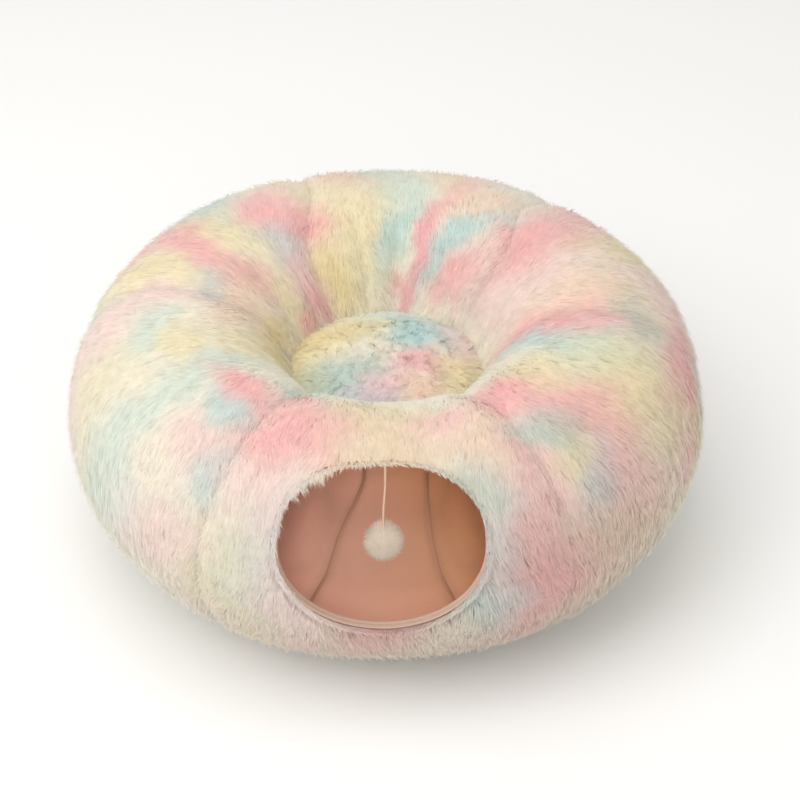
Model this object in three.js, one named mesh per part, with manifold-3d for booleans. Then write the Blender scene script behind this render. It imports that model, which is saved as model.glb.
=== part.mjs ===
// Cat cave bed: a ring tunnel of six plush gores with a round entrance, a lining, a hanging pompom
// and a cushion pushed into the middle of the ring.
// Millimetres, +Z up. The entrance faces -Y and +X is to the right of someone who faces it.
// An azimuth is in degrees round the ring, 0 at the entrance and growing towards +X.
// A turn is in degrees round the tube's section: 0 at the well, 90 at the crest, 180 outside and
// 270 on the floor.

import * as THREE from "three";
import { mergeVertices } from "three/addons/utils/BufferGeometryUtils.js";
import Module from "manifold-3d";

const wasm = await Module();
wasm.setup();

// Sizes of the ring
const RING_RADIUS = 197;
const REACH_OUT = 128;
const REACH_IN = 104;
const BACK_LEAN = 8;
const HEIGHT = 254;
const FLOOR_PRESS = 8;
const OUTER_POWER = 2.2;
const FRONT_POWER_DROP = 0.2;
const FRONT_POWER_SPREAD = 28;
const LOWER_POWER_DROP = 0.1;
const PLUSH_THICKNESS = 18;
const LINING_THICKNESS = 2;
const SEWN_GAP = 0.3;

// Sizes of the entrance and its edge
const ENTRANCE_CENTRE = new THREE.Vector3(-3, -285.5, 176.5);
const ENTRANCE_TILT = 29.2;
const ENTRANCE_HALF_WIDTH = 100;
const ENTRANCE_HALF_HEIGHT = 80;
const ENTRANCE_UPPER_POWER = 2.5;
const ENTRANCE_STEPS = 44;
const CUT_INWARDS = 70;
const CUT_OUTWARDS = 60;
const BINDING_RADIUS = 2.4;
const BINDING_SIDES = 6;
const EDGE_GAP = 0.4;
const FRINGE_DEPTH = 6;
const FRINGE_HALF_STRIP = 2.4;
const FRINGE_LOCKS = 48;
const FRINGE_LENGTH = 15;
const FRINGE_ROOT = 2.3;

// Sizes of the cushion
const CUSHION_EDGE_HEIGHT = 167;
const CUSHION_CROWN = 25;
const CUSHION_SEAT_LOWEST = 132;
const CUSHION_BELLY = 12;
const CUSHION_GAP = 0.9;
const CUSHION_STEPS = 32;

// Sizes of the hanging toy
const CORD_RADIUS = 1.4;
const CORD_ANGLE = 88.2;
const POMPOM_CENTRE = new THREE.Vector3(-1.5, -229, 134);
const POMPOM_CORE = 14;
const POMPOM_RADIUS = 19.5;
const POMPOM_LOCKS = 64;
const POMPOM_LOCK_ROOT = 2.4;

// Gores of the cover. A seam lies at "from" on the outside and leans by "wellShift" degrees at the well.
const GORES = [
  { name: "plush_gore_front", from: -33, wellShift: 0, swell: 0, colour: 0xf2d9d2 },
  { name: "plush_gore_right", from: 33, wellShift: 0, swell: 2, colour: 0xefdcc4 },
  { name: "plush_gore_back_right", from: 88, wellShift: 0, swell: -1, colour: 0xf2c9c9 },
  { name: "plush_gore_back", from: 141, wellShift: -14, swell: -2, colour: 0xeadfb4 },
  { name: "plush_gore_back_left", from: 201, wellShift: 14, swell: 3, colour: 0xf0c3c6 },
  { name: "plush_gore_left", from: 262, wellShift: 0, swell: 2, colour: 0xe3e6d6 },
];

// Shares of a gore's width at which its points lie: the cover's close together beside the seams, and
// even ones for the backing cloth and the lining that follows it
const COVER_SHARES = [0, 0.06, 0.18, 0.34, 0.5, 0.66, 0.82, 0.94, 1];
const BACKING_STEPS = 6;
const SECTION_STEPS = 24;

// Grooves at the seams and the pleats between them
const GROOVE_WIDTH = 16;
const GROOVE_OUTSIDE = 3;
const GROOVE_AT_WELL = 9;
const PLEATS = [
  { azimuth: 175, turn: 45, spread: 35, width: 13, depth: 7 },
  { azimuth: 112, turn: 40, spread: 30, width: 11, depth: 5 },
  { azimuth: 243, turn: 42, spread: 30, width: 11, depth: 5 },
];

// Soft unevenness of the stuffed cover
const LUMPS = [
  { rounds: 7, turns: 2, phase: 40, height: 1.1 },
  { rounds: 4, turns: 3, phase: 130, height: 0.9 },
];

// Panel seams of the lining, raised towards the tunnel. A seam leans by "wellShift" degrees at the well.
const LINING_SEAMS = [
  { azimuth: -21, wellShift: 10.5 },
  { azimuth: 19.4, wellShift: 1.3 },
];
const SEAM_RIDGE = 1.8;
const SEAM_RIDGE_HALF_WIDTH = 2.2;

const radians = THREE.MathUtils.degToRad;
const fullTurn = 360;

function smooth(low, high, value) {
  return THREE.MathUtils.smoothstep(value, low, high);
}

// Smallest difference between two angles in degrees
function apart(first, second) {
  const difference = Math.abs(first - second) % fullTurn;
  return Math.min(difference, fullTurn - difference);
}

// How far the section reaches towards the well at an azimuth: the back leans in a little
function reachIn(azimuth) {
  return REACH_IN + BACK_LEAN * (0.5 - 0.5 * Math.cos(radians(azimuth))) ** 2;
}

// How square the outside of the section is at an azimuth: the front is rounder, and so is the lower half
function outerPower(azimuth, lower) {
  const fromFront = apart(azimuth, 0) / FRONT_POWER_SPREAD;
  const upperPower = OUTER_POWER - FRONT_POWER_DROP * Math.exp(-(fromFront ** 2));
  return lower ? upperPower - LOWER_POWER_DROP : upperPower;
}

// How far a seam has leant from its azimuth at a turn
function leanShare(turn) {
  return smooth(0, 1, Math.cos(radians(turn - 20)));
}

function seamAzimuth(gore, turn) {
  return gore.from + gore.wellShift * leanShare(turn);
}

function nextGore(index) {
  const gore = GORES[(index + 1) % GORES.length];
  return index + 1 < GORES.length ? gore : { ...gore, from: gore.from + fullTurn };
}

function goreAzimuth(index, share, turn) {
  const start = seamAzimuth(GORES[index], turn);
  const end = seamAzimuth(nextGore(index), turn);
  return start + (end - start) * share;
}

// Distance from the ring's axis to the tube's surface, and its height, at a depth below the pile's tips
function sectionPoint(azimuth, turn, depth) {
  const across = Math.cos(radians(turn));
  const upwards = Math.sin(radians(turn));
  const outside = across < 0;
  const power = outside ? outerPower(azimuth, upwards < 0) : 2;
  const reach = (outside ? REACH_OUT : reachIn(azimuth)) - depth;
  const rise = (HEIGHT + FLOOR_PRESS) / 2;
  const round = (Math.abs(across) ** power + Math.abs(upwards) ** power) ** (-1 / power);
  const floor = Math.max(depth, 0);
  return {
    radius: RING_RADIUS - reach * across * round,
    height: Math.max(HEIGHT - rise + (rise - depth) * upwards * round, floor),
  };
}

function ringPoint(azimuth, turn, depth) {
  const { radius, height } = sectionPoint(azimuth, turn, depth);
  const angle = radians(azimuth);
  return new THREE.Vector3(radius * Math.sin(angle), -radius * Math.cos(angle), height);
}

// How deep the cover lies below the plain section: seam grooves and pleats, less the gore's own swell
function coverDepth(index, share, turn) {
  const azimuth = goreAzimuth(index, share, turn);
  const { radius, height } = sectionPoint(azimuth, turn, 0);
  const clearOfFloor = smooth(10, 70, height);
  const arc = radians(1) * radius;
  const fromSeam = arc * Math.min(
    apart(azimuth, seamAzimuth(GORES[index], turn)),
    apart(azimuth, seamAzimuth(nextGore(index), turn)),
  );
  const wellSide = smooth(-0.2, 0.8, Math.cos(radians(turn - 40)));
  const deepest = GROOVE_OUTSIDE + (GROOVE_AT_WELL - GROOVE_OUTSIDE) * wellSide;
  let depth = deepest * Math.exp(-((fromSeam / GROOVE_WIDTH) ** 2));
  for (const pleat of PLEATS) {
    const aside = (arc * apart(azimuth, pleat.azimuth)) / pleat.width;
    const along = apart(turn, pleat.turn) / pleat.spread;
    depth += pleat.depth * Math.exp(-(aside ** 2) - along ** 2);
  }
  const outside = smooth(0.1, 0.7, -Math.cos(radians(turn)));
  depth -= GORES[index].swell * outside * Math.sin(Math.PI * share) ** 2;
  const clearOfSeat = smooth(-0.75, -0.3, -Math.cos(radians(turn)));
  for (const lump of LUMPS) {
    const wave = Math.sin(radians(lump.rounds * azimuth + lump.phase));
    depth += lump.height * wave * Math.sin(radians(lump.turns * turn)) * clearOfSeat;
  }
  return depth * clearOfFloor;
}

// Solid from rings of points: each ring is joined to the next, and the ends are joined or capped.
// Each ring turns right-handed about the way the rings follow one another.
function loft(rings, joined) {
  const count = rings[0].length;
  const positions = rings.flat();
  const index = [];
  const spans = joined ? rings.length : rings.length - 1;
  for (let i = 0; i < spans; i += 1) {
    const here = i * count;
    const there = ((i + 1) % rings.length) * count;
    for (let j = 0; j < count; j += 1) {
      const next = (j + 1) % count;
      index.push(...quadFaces(positions, here + j, here + next, there + next, there + j));
    }
  }
  if (!joined) {
    capRing(positions, index, 0, count, true);
    capRing(positions, index, (rings.length - 1) * count, count, false);
  }
  const geometry = new THREE.BufferGeometry().setFromPoints(positions);
  geometry.setIndex(index);
  return geometry;
}

// Two triangles that split four corners along the shorter diagonal, so that neighbours split a shared
// face alike
function quadFaces(positions, a, b, c, d) {
  const alongFirst = positions[a].distanceTo(positions[c]) <= positions[b].distanceTo(positions[d]);
  return alongFirst ? [a, b, c, a, c, d] : [a, b, d, b, c, d];
}

function capRing(positions, index, start, count, first) {
  if (count === 3) {
    index.push(...(first ? [start, start + 2, start + 1] : [start, start + 1, start + 2]));
    return;
  }
  const centre = new THREE.Vector3();
  for (let j = 0; j < count; j += 1) {
    centre.addScaledVector(positions[start + j], 1 / count);
  }
  const hub = positions.push(centre) - 1;
  for (let j = 0; j < count; j += 1) {
    const next = (j + 1) % count;
    const edge = first ? [start + next, start + j] : [start + j, start + next];
    index.push(...edge, hub);
  }
}

// Joining and cutting
function solidOf(geometry) {
  const bare = new THREE.BufferGeometry();
  bare.setAttribute("position", geometry.getAttribute("position"));
  bare.setIndex(geometry.getIndex());
  const welded = mergeVertices(bare, 1e-4);
  return new wasm.Manifold(
    new wasm.Mesh({
      numProp: 3,
      vertProperties: welded.getAttribute("position").array,
      triVerts: new Uint32Array(welded.getIndex().array),
    }),
  );
}

function geometryOf(solid) {
  const mesh = solid.getMesh();
  const geometry = new THREE.BufferGeometry();
  geometry.setAttribute("position", new THREE.BufferAttribute(mesh.vertProperties, 3));
  geometry.setIndex(new THREE.BufferAttribute(mesh.triVerts, 1));
  return geometry;
}

// One gore: a length of tube wall, lofted round its section
function goreGeometry(index) {
  const backingShares = Array.from({ length: BACKING_STEPS + 1 }, (_, step) => step / BACKING_STEPS);
  const rings = [];
  for (let step = 0; step < SECTION_STEPS; step += 1) {
    const turn = (fullTurn * step) / SECTION_STEPS;
    const coverAt = (share) => wallPoint(index, share, turn, coverDepth(index, share, turn));
    const cover = COVER_SHARES.map(coverAt);
    const backing = backingShares.map((share) => wallPoint(index, share, turn, PLUSH_THICKNESS));
    rings.push([...backing, ...cover.reverse()]);
  }
  return loft(rings, true);
}

// A point of a gore, drawn back from its seams by half the gap that the stitching leaves
function wallPoint(index, share, turn, depth) {
  const azimuth = goreAzimuth(index, share, turn);
  const angle = radians(azimuth);
  const along = new THREE.Vector3(Math.cos(angle), Math.sin(angle), 0);
  const drawnBack = (SEWN_GAP / 2) * ((share === 0) - (share === 1));
  return ringPoint(azimuth, turn, depth).addScaledVector(along, drawnBack);
}

// Frame of the entrance: right is +X, up lies in its plane, outwards leaves the tunnel
const tilt = radians(ENTRANCE_TILT);
const entranceOutwards = new THREE.Vector3(0, -Math.cos(tilt), Math.sin(tilt));
const entranceUp = new THREE.Vector3(0, Math.sin(tilt), Math.cos(tilt));

// A point of the entrance's oval at an angle, with both half axes 1: a circle below its middle and
// squarer above
function ovalPoint(angle) {
  const across = Math.cos(angle);
  const upwards = Math.sin(angle);
  const power = upwards > 0 ? ENTRANCE_UPPER_POWER : 2;
  const round = (Math.abs(across) ** power + Math.abs(upwards) ** power) ** (-1 / power);
  return new THREE.Vector2(across * round, upwards * round);
}

function entrancePoint(angle, inwards, depthAlong) {
  const oval = ovalPoint(angle);
  const point = ENTRANCE_CENTRE.clone();
  point.x += (ENTRANCE_HALF_WIDTH - inwards) * oval.x;
  point.addScaledVector(entranceUp, (ENTRANCE_HALF_HEIGHT - inwards) * oval.y);
  return point.addScaledVector(entranceOutwards, depthAlong);
}

// Whether a point is deeper in the tube than the plain section at that depth
function isWithin(point, depth) {
  const fromCrest = Math.hypot(point.x, point.y) - RING_RADIUS;
  const rise = (HEIGHT + FLOOR_PRESS) / 2;
  const upwards = (point.z - (HEIGHT - rise)) / (rise - depth);
  const azimuth = THREE.MathUtils.radToDeg(Math.atan2(point.x, -point.y));
  const reach = fromCrest > 0 ? REACH_OUT : reachIn(azimuth);
  const power = fromCrest > 0 ? outerPower(azimuth, upwards < 0) : 2;
  return (Math.abs(fromCrest) / (reach - depth)) ** power + Math.abs(upwards) ** power < 1;
}

// Where a line through the entrance at an angle leaves the tube at a given depth of its wall
function edgePoint(angle, inwards, depth) {
  let near = -CUT_INWARDS;
  let far = CUT_OUTWARDS;
  for (let halving = 0; halving < 30; halving += 1) {
    const middle = (near + far) / 2;
    if (isWithin(entrancePoint(angle, inwards, middle), depth)) {
      near = middle;
    } else {
      far = middle;
    }
  }
  return entrancePoint(angle, inwards, near);
}

// The cut for the entrance: an oval prism along the entrance's own axis
function entranceCut() {
  const outline = [];
  for (let step = 0; step < 2 * ENTRANCE_STEPS; step += 1) {
    const oval = ovalPoint((Math.PI * step) / ENTRANCE_STEPS);
    outline.push(new THREE.Vector2(ENTRANCE_HALF_WIDTH * oval.x, ENTRANCE_HALF_HEIGHT * oval.y));
  }
  const prism = new THREE.ExtrudeGeometry(new THREE.Shape(outline), {
    depth: CUT_INWARDS + CUT_OUTWARDS,
    bevelEnabled: false,
  });
  prism.translate(0, 0, -CUT_INWARDS);
  const right = new THREE.Vector3(1, 0, 0);
  prism.applyMatrix4(new THREE.Matrix4().makeBasis(right, entranceUp, entranceOutwards));
  prism.translate(ENTRANCE_CENTRE.x, ENTRANCE_CENTRE.y, ENTRANCE_CENTRE.z);
  return solidOf(prism);
}

// The lining: a thin shell inside the gores, with its panel seams raised
function liningGeometry() {
  const top = PLUSH_THICKNESS + SEWN_GAP;
  const outer = shellSolid(top);
  const inner = shellSolid(top + LINING_THICKNESS);
  let lining = outer.subtract(inner);
  for (const seam of LINING_SEAMS) {
    lining = lining.add(seamRidge(seam, top + LINING_THICKNESS / 2));
  }
  return geometryOf(lining.subtract(entranceCut()));
}

// A whole ring tube at one depth, with its points behind those of the gores' backing
function shellSolid(depth) {
  const rings = [];
  for (let column = 0; column < GORES.length * BACKING_STEPS; column += 1) {
    const index = Math.floor(column / BACKING_STEPS);
    const share = (column % BACKING_STEPS) / BACKING_STEPS;
    const ring = [];
    for (let step = 0; step < SECTION_STEPS; step += 1) {
      const turn = (fullTurn * step) / SECTION_STEPS;
      ring.push(ringPoint(goreAzimuth(index, share, turn), turn, depth));
    }
    rings.push(ring);
  }
  return solidOf(loft(rings, true));
}

// A raised seam round the section, half sunk in the lining
function seamRidge(seam, depth) {
  const rings = [];
  for (let step = 0; step < SECTION_STEPS; step += 1) {
    const turn = (fullTurn * step) / SECTION_STEPS;
    const azimuth = seam.azimuth + seam.wellShift * Math.max(Math.cos(radians(turn)), 0) ** 8;
    const radius = sectionPoint(azimuth, turn, depth).radius;
    const aside = THREE.MathUtils.radToDeg(SEAM_RIDGE_HALF_WIDTH / radius);
    const raised = depth + LINING_THICKNESS / 2 + SEAM_RIDGE;
    rings.push([
      ringPoint(azimuth + aside, turn, depth),
      ringPoint(azimuth - aside, turn, depth),
      ringPoint(azimuth, turn, raised),
    ]);
  }
  return solidOf(loft(rings, true));
}

// A closed strip or piping round the entrance's edge, as rings of points about its middle line
function edgeStrip(inwards, depth, sides, halfSize) {
  const rings = [];
  for (let step = 0; step < ENTRANCE_STEPS; step += 1) {
    const angle = (2 * Math.PI * step) / ENTRANCE_STEPS;
    const middle = edgePoint(angle, inwards, depth);
    const towardsCentre = entrancePoint(angle, inwards + 1, 0).sub(entrancePoint(angle, inwards, 0));
    towardsCentre.normalize();
    const corner = halfSize / Math.cos(Math.PI / sides);
    const ring = [];
    for (let side = 0; side < sides; side += 1) {
      const round = (2 * Math.PI * (side + 0.5)) / sides;
      const point = middle.clone();
      point.addScaledVector(towardsCentre, -corner * Math.cos(round));
      point.addScaledVector(entranceOutwards, -corner * Math.sin(round));
      ring.push(point);
    }
    rings.push(ring);
  }
  return loft(rings, true);
}

// A tapered lock of pile with three sides, its root sunk in what holds it
function lockSolid(root, direction, length, rootRadius, tipShare) {
  const along = direction.clone().normalize();
  const notAlong = Math.abs(along.z) < 0.8 ? new THREE.Vector3(0, 0, 1) : new THREE.Vector3(1, 0, 0);
  const aside = notAlong.cross(along).normalize();
  const across = along.clone().cross(aside);
  const ringAt = (distance, radius) => {
    const ring = [];
    for (let side = 0; side < 3; side += 1) {
      const round = (2 * Math.PI * side) / 3;
      const point = root.clone().addScaledVector(along, distance);
      point.addScaledVector(aside, radius * Math.cos(round));
      point.addScaledVector(across, radius * Math.sin(round));
      ring.push(point);
    }
    return ring;
  };
  return solidOf(loft([ringAt(0, rootRadius), ringAt(length, tipShare * rootRadius)], false));
}

// The overhanging pile at the entrance: locks on a narrow strip
function fringeGeometry() {
  const inwards = FRINGE_HALF_STRIP + EDGE_GAP;
  const locks = [];
  for (let count = 0; count < FRINGE_LOCKS; count += 1) {
    const angle = (2 * Math.PI * (count + 0.5)) / FRINGE_LOCKS;
    const root = edgePoint(angle, inwards, FRINGE_DEPTH);
    const towardsCentre = entrancePoint(angle, inwards + 1, 0).sub(entrancePoint(angle, inwards, 0));
    const upper = smooth(-0.9, 0.6, Math.sin(angle));
    const direction = entranceOutwards.clone();
    direction.addScaledVector(towardsCentre, 0.5 + 0.7 * upper);
    direction.x += 0.35 * Math.sin(2.4 * count);
    direction.z -= 0.25 + 0.2 * Math.sin(1.7 * count);
    const length = FRINGE_LENGTH * (0.6 + 0.4 * upper) * (0.85 + 0.15 * Math.sin(3.1 * count));
    locks.push(lockSolid(root, direction, length, FRINGE_ROOT, 0.35));
  }
  const strip = solidOf(edgeStrip(inwards, FRINGE_DEPTH, 4, FRINGE_HALF_STRIP));
  return geometryOf(wasm.Manifold.union([strip, ...locks]));
}

// The cushion: a crowned top, a side that follows the well's wall, and a low belly
function cushionGeometry() {
  const rings = [];
  for (const share of [0.14, 0.32, 0.5, 0.66, 0.8, 0.9, 0.97]) {
    const height = CUSHION_EDGE_HEIGHT + CUSHION_CROWN * (1 - share ** 3.2);
    rings.push(cushionRing(CUSHION_EDGE_HEIGHT, share, (azimuth) => height + cushionLump(azimuth, share)));
  }
  for (const height of [CUSHION_EDGE_HEIGHT, 158, 149, 140, CUSHION_SEAT_LOWEST]) {
    rings.push(cushionRing(height, 1, () => height));
  }
  for (const share of [0.7, 0.3]) {
    const height = CUSHION_SEAT_LOWEST - CUSHION_BELLY * (1 - share ** 2);
    rings.push(cushionRing(CUSHION_SEAT_LOWEST, share, () => height));
  }
  return loft(rings, false);
}

// A ring of the cushion's points at a share of the well's radius at one height, each at a height of its own
function cushionRing(wallHeight, share, heightAt) {
  const ring = [];
  for (let step = 0; step < CUSHION_STEPS; step += 1) {
    const azimuth = (-fullTurn * step) / CUSHION_STEPS;
    const angle = radians(azimuth);
    const radius = share * (wellRadius(azimuth, wallHeight) - CUSHION_GAP);
    ring.push(new THREE.Vector3(radius * Math.sin(angle), -radius * Math.cos(angle), heightAt(azimuth)));
  }
  return ring;
}

// Soft hollows and rises of the cushion's top
function cushionLump(azimuth, share) {
  const wave = Math.sin(radians(3 * azimuth + 30)) + 0.7 * Math.sin(radians(5 * azimuth - 70));
  return 2 * wave * share * (1 - share ** 4);
}

// Radius of the well's wall at a height
function wellRadius(azimuth, height) {
  const rise = (HEIGHT + FLOOR_PRESS) / 2;
  const upwards = (height - (HEIGHT - rise)) / rise;
  return RING_RADIUS - reachIn(azimuth) * Math.sqrt(1 - upwards ** 2);
}

// The hanging toy: the cord drops from the binding's top and ends at the pompom
function cordGeometry() {
  const hung = edgePoint(radians(CORD_ANGLE), BINDING_RADIUS + EDGE_GAP, PLUSH_THICKNESS);
  hung.z -= BINDING_RADIUS / Math.cos(Math.PI / BINDING_SIDES) + EDGE_GAP;
  const end = POMPOM_CENTRE.clone();
  end.z += POMPOM_CORE + SEWN_GAP;
  const rings = [];
  for (let step = 0; step <= 6; step += 1) {
    const middle = hung.clone().lerp(end, step / 6);
    const ring = [];
    for (let side = 0; side < 8; side += 1) {
      const round = (-2 * Math.PI * side) / 8;
      const aside = new THREE.Vector3(Math.cos(round), Math.sin(round), 0);
      ring.push(middle.clone().addScaledVector(aside, CORD_RADIUS));
    }
    rings.push(ring);
  }
  return loft(rings, false);
}

function pompomGeometry() {
  const core = new THREE.IcosahedronGeometry(POMPOM_CORE, 1);
  core.translate(POMPOM_CENTRE.x, POMPOM_CENTRE.y, POMPOM_CENTRE.z);
  const goldenAngle = Math.PI * (3 - Math.sqrt(5));
  const locks = [];
  for (let count = 0; count < POMPOM_LOCKS; count += 1) {
    const height = 1 - (2 * (count + 0.5)) / POMPOM_LOCKS;
    const round = count * goldenAngle;
    const level = Math.sqrt(1 - height ** 2);
    const direction = new THREE.Vector3(level * Math.cos(round), level * Math.sin(round), height);
    if (height < 0.93) {
      const root = POMPOM_CENTRE.clone().addScaledVector(direction, 0.8 * POMPOM_CORE);
      locks.push(lockSolid(root, direction, POMPOM_RADIUS - 0.8 * POMPOM_CORE, POMPOM_LOCK_ROOT, 0.5));
    }
  }
  return geometryOf(wasm.Manifold.union([solidOf(core), ...locks]));
}

// The finished part
const bed = new THREE.Group();
bed.name = "cat_cave_bed";

function addPiece(name, geometry, colour, roughness) {
  const material = new THREE.MeshStandardMaterial({ color: colour, roughness, metalness: 0 });
  const mesh = new THREE.Mesh(geometry, material);
  mesh.name = name;
  bed.add(mesh);
}

GORES.forEach((gore, index) => {
  const whole = goreGeometry(index);
  const geometry = index === 0 ? geometryOf(solidOf(whole).subtract(entranceCut())) : whole;
  addPiece(gore.name, geometry, gore.colour, 0.95);
});
addPiece("tunnel_lining", liningGeometry(), 0xd39a86, 0.85);
addPiece(
  "entrance_binding",
  edgeStrip(BINDING_RADIUS + EDGE_GAP, PLUSH_THICKNESS, BINDING_SIDES, BINDING_RADIUS),
  0xe0b7a8,
  0.8,
);
addPiece("entrance_fringe", fringeGeometry(), 0xeee4da, 0.95);
addPiece("well_cushion", cushionGeometry(), 0xd8e3d8, 0.95);
addPiece("toy_cord", cordGeometry(), 0xe6cbb4, 0.8);
addPiece("toy_pompom", pompomGeometry(), 0xefe8dd, 0.95);

export default bed;
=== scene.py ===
# Looks of the cat cave bed: its plush gores with their pile, the lining, the entrance's edge, the cushion
# and the hanging toy.
# Metres, +Z up. The entrance faces -Y and +X is to the right of someone who faces it.
# An azimuth is in degrees round the ring, 0 at the entrance and growing towards +X.
# A turn is in degrees round the tube's section: 0 at the well, 90 at the crest, 180 outside and 270 on
# the floor.

import math

import bmesh
import bpy
import numpy as np
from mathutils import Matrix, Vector


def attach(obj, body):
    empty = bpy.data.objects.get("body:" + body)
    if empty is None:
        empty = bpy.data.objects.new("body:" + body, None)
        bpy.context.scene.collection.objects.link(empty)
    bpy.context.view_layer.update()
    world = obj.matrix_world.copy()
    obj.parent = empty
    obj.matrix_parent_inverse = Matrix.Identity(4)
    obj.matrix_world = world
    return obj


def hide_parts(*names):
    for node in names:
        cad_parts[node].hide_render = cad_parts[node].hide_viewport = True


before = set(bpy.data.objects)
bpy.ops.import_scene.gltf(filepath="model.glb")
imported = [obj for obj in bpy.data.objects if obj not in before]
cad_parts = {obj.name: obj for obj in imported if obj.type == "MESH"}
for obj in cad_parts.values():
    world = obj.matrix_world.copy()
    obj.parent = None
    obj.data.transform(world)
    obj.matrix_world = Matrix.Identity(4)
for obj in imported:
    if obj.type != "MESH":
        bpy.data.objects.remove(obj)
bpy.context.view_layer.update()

# Sizes of the ring, as in the solids
RING_RADIUS = 0.197
REACH_OUT = 0.128
REACH_IN = 0.104
BACK_LEAN = 0.008
HEIGHT = 0.254
FLOOR_PRESS = 0.008
RISE = (HEIGHT + FLOOR_PRESS) / 2
OUTER_POWER = 2.2
FRONT_POWER_DROP = 0.2
FRONT_POWER_SPREAD = 28
LOWER_POWER_DROP = 0.1
PLUSH_THICKNESS = 0.018
LINING_GAP = 0.0003
LINING_THICKNESS = 0.002

# Gores: node, material slot, azimuth of the first seam, how far it leans at the well, swell
GORES = [
    ("plush_gore_front", "plush_front", -33, 0, 0.000),
    ("plush_gore_right", "plush_right", 33, 0, 0.002),
    ("plush_gore_back_right", "plush_back_right", 88, 0, -0.001),
    ("plush_gore_back", "plush_back", 141, -14, -0.002),
    ("plush_gore_back_left", "plush_back_left", 201, 14, 0.003),
    ("plush_gore_left", "plush_left", 262, 0, 0.002),
]
GROOVE_WIDTH = 0.016
GROOVE_OUTSIDE = 0.0025
GROOVE_AT_WELL = 0.008
STITCH_WIDTH = 0.004
STITCH_DEPTH = 0.0018

# Pleats: azimuth, turn, spread along the turn, width, depth
PLEATS = [
    (175, 45, 35, 0.013, 0.007),
    (112, 40, 30, 0.011, 0.005),
    (243, 42, 30, 0.011, 0.005),
    (128, 46, 24, 0.006, 0.003),
    (156, 48, 26, 0.007, 0.003),
    (192, 46, 28, 0.007, 0.003),
    (226, 46, 24, 0.006, 0.003),
    (100, 44, 22, 0.006, 0.003),
    (70, 42, 22, 0.007, 0.003),
    (288, 42, 22, 0.007, 0.003),
]

# Soft unevenness: waves round the ring, waves round the section, phase, height
LUMPS = [
    (7, 2, 40, 0.0011),
    (4, 3, 130, 0.0009),
]

# Sizes of the entrance and its edge
ENTRANCE_CENTRE = np.array([-0.003, -0.2855, 0.1765])
ENTRANCE_TILT = math.radians(29.2)
ENTRANCE_HALF_WIDTH = 0.100
ENTRANCE_HALF_HEIGHT = 0.080
ENTRANCE_UPPER_POWER = 2.5
ENTRANCE_RIGHT = np.array([1.0, 0.0, 0.0])
ENTRANCE_UP = np.array([0.0, math.sin(ENTRANCE_TILT), math.cos(ENTRANCE_TILT)])
ENTRANCE_OUTWARDS = np.array([0.0, -math.cos(ENTRANCE_TILT), math.sin(ENTRANCE_TILT)])
ENTRANCE_SIDE = -0.1
CUT_INWARDS = 0.070
CUT_OUTWARDS = 0.060
CUT_SIDES = 160
EDGE_GAP = 0.0004
TAPE_HALF_THICKNESS = 0.0019

# Folds of the entrance's tape: depth in the wall, half width, half thickness
TAPE_FOLDS = [
    (PLUSH_THICKNESS, 0.0040, TAPE_HALF_THICKNESS),
    (0.0110, 0.0060, 0.0014),
]

# Seams of the lining that show: azimuth, and how far it leans on the wall beside the well
LINING_SEAMS = [(-21, 10.5), (19.4, 1.3)]

# Raised section of such a seam: how far aside and how high
SEAM_PROFILE = [(-0.0028, -0.0006), (-0.0015, 0.0005), (0, 0.0008), (0.0015, 0.0005), (0.0028, -0.0006)]

# Rounds of averaging that ease the crease at the tunnel's floor
LINING_EASING = 5
SEAM_EASING = 11

# How far to each side of the entrance the lining is finer
SHOWN_AZIMUTH = 45

# Sizes of the cushion
CUSHION_EDGE_HEIGHT = 0.167
CUSHION_CROWN = 0.025
CUSHION_SEAT_LOWEST = 0.132
CUSHION_BELLY = 0.012
CUSHION_GAP = 0.0009

# Sizes of the hanging toy
CORD_DIAMETER = 0.0028
CORD_ANGLE = math.radians(88.2)
CORD_SWAY = 0.0006
CORD_LAY = 0.0055
CORD_SUNK = 0.0004
PLY_RADIUS = 0.36 * CORD_DIAMETER
POMPOM_CENTRE = np.array([-0.0015, -0.229, 0.134])
POMPOM_CORE = 0.0125
POMPOM_RADIUS = 0.0200
POMPOM_STRANDS = 5200
POMPOM_STRAND_RADIUS = 0.0008
POMPOM_SEED = 11

# Pile of a gore and of the cushion. The tips stand a height above the skin, and the narrowest and widest
# strands are shares of the width.
PILE_STRANDS = 64000
PILE_HEIGHT = 0.0055
HANGING_ROOM = 0.004
PILE_LENGTH = 0.022
PILE_WIDTH = 0.0009
NARROWEST = 0.7
WIDEST = 1.2
FLOOR_CLEARANCE = 0.0006
CLUMP_SIZE = 0.0075
CLUMP_RING_RADIUS = 0.26
CLUMP_TUBE_RADIUS = 0.125
PARTING_TURN = 70
FIRST_TURN = 8
LAST_TURN = 262
LOWEST_ROOT = 0.003
ROOTS_FROM_ENTRANCE = 1.012
GORE_SEED = 100
CUSHION_STRANDS = 40000
CUSHION_PILE_HEIGHT = 0.0055
CUSHION_CLUMP_SIZE = 0.0055
CUSHION_ARCH = 0.66
WALL_PILE = 0.004
CUSHION_SEED = 31

# Pile at the entrance's edge: how far strands reach over it, in shares of its half axes, the upper left
# where wisps hang, in degrees round the oval, and where the fringe parts
OVERHANG = 0.032
WISP_OVERHANG = 0.10
UPPER_LEFT = 142
UPPER_LEFT_SPREAD = 32
FRINGE_STRANDS = 4500
FRINGE_PARTING = math.radians(100)
FRINGE_SEED = 21
WISP_STRANDS = 420
WISP_LOCKS = 38
WISP_FIRST = 116
WISP_LAST = 166

# Small steps along a gore, for the slope of its skin
TURN_STEP = 0.05
SHARE_STEP = 0.001

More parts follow.
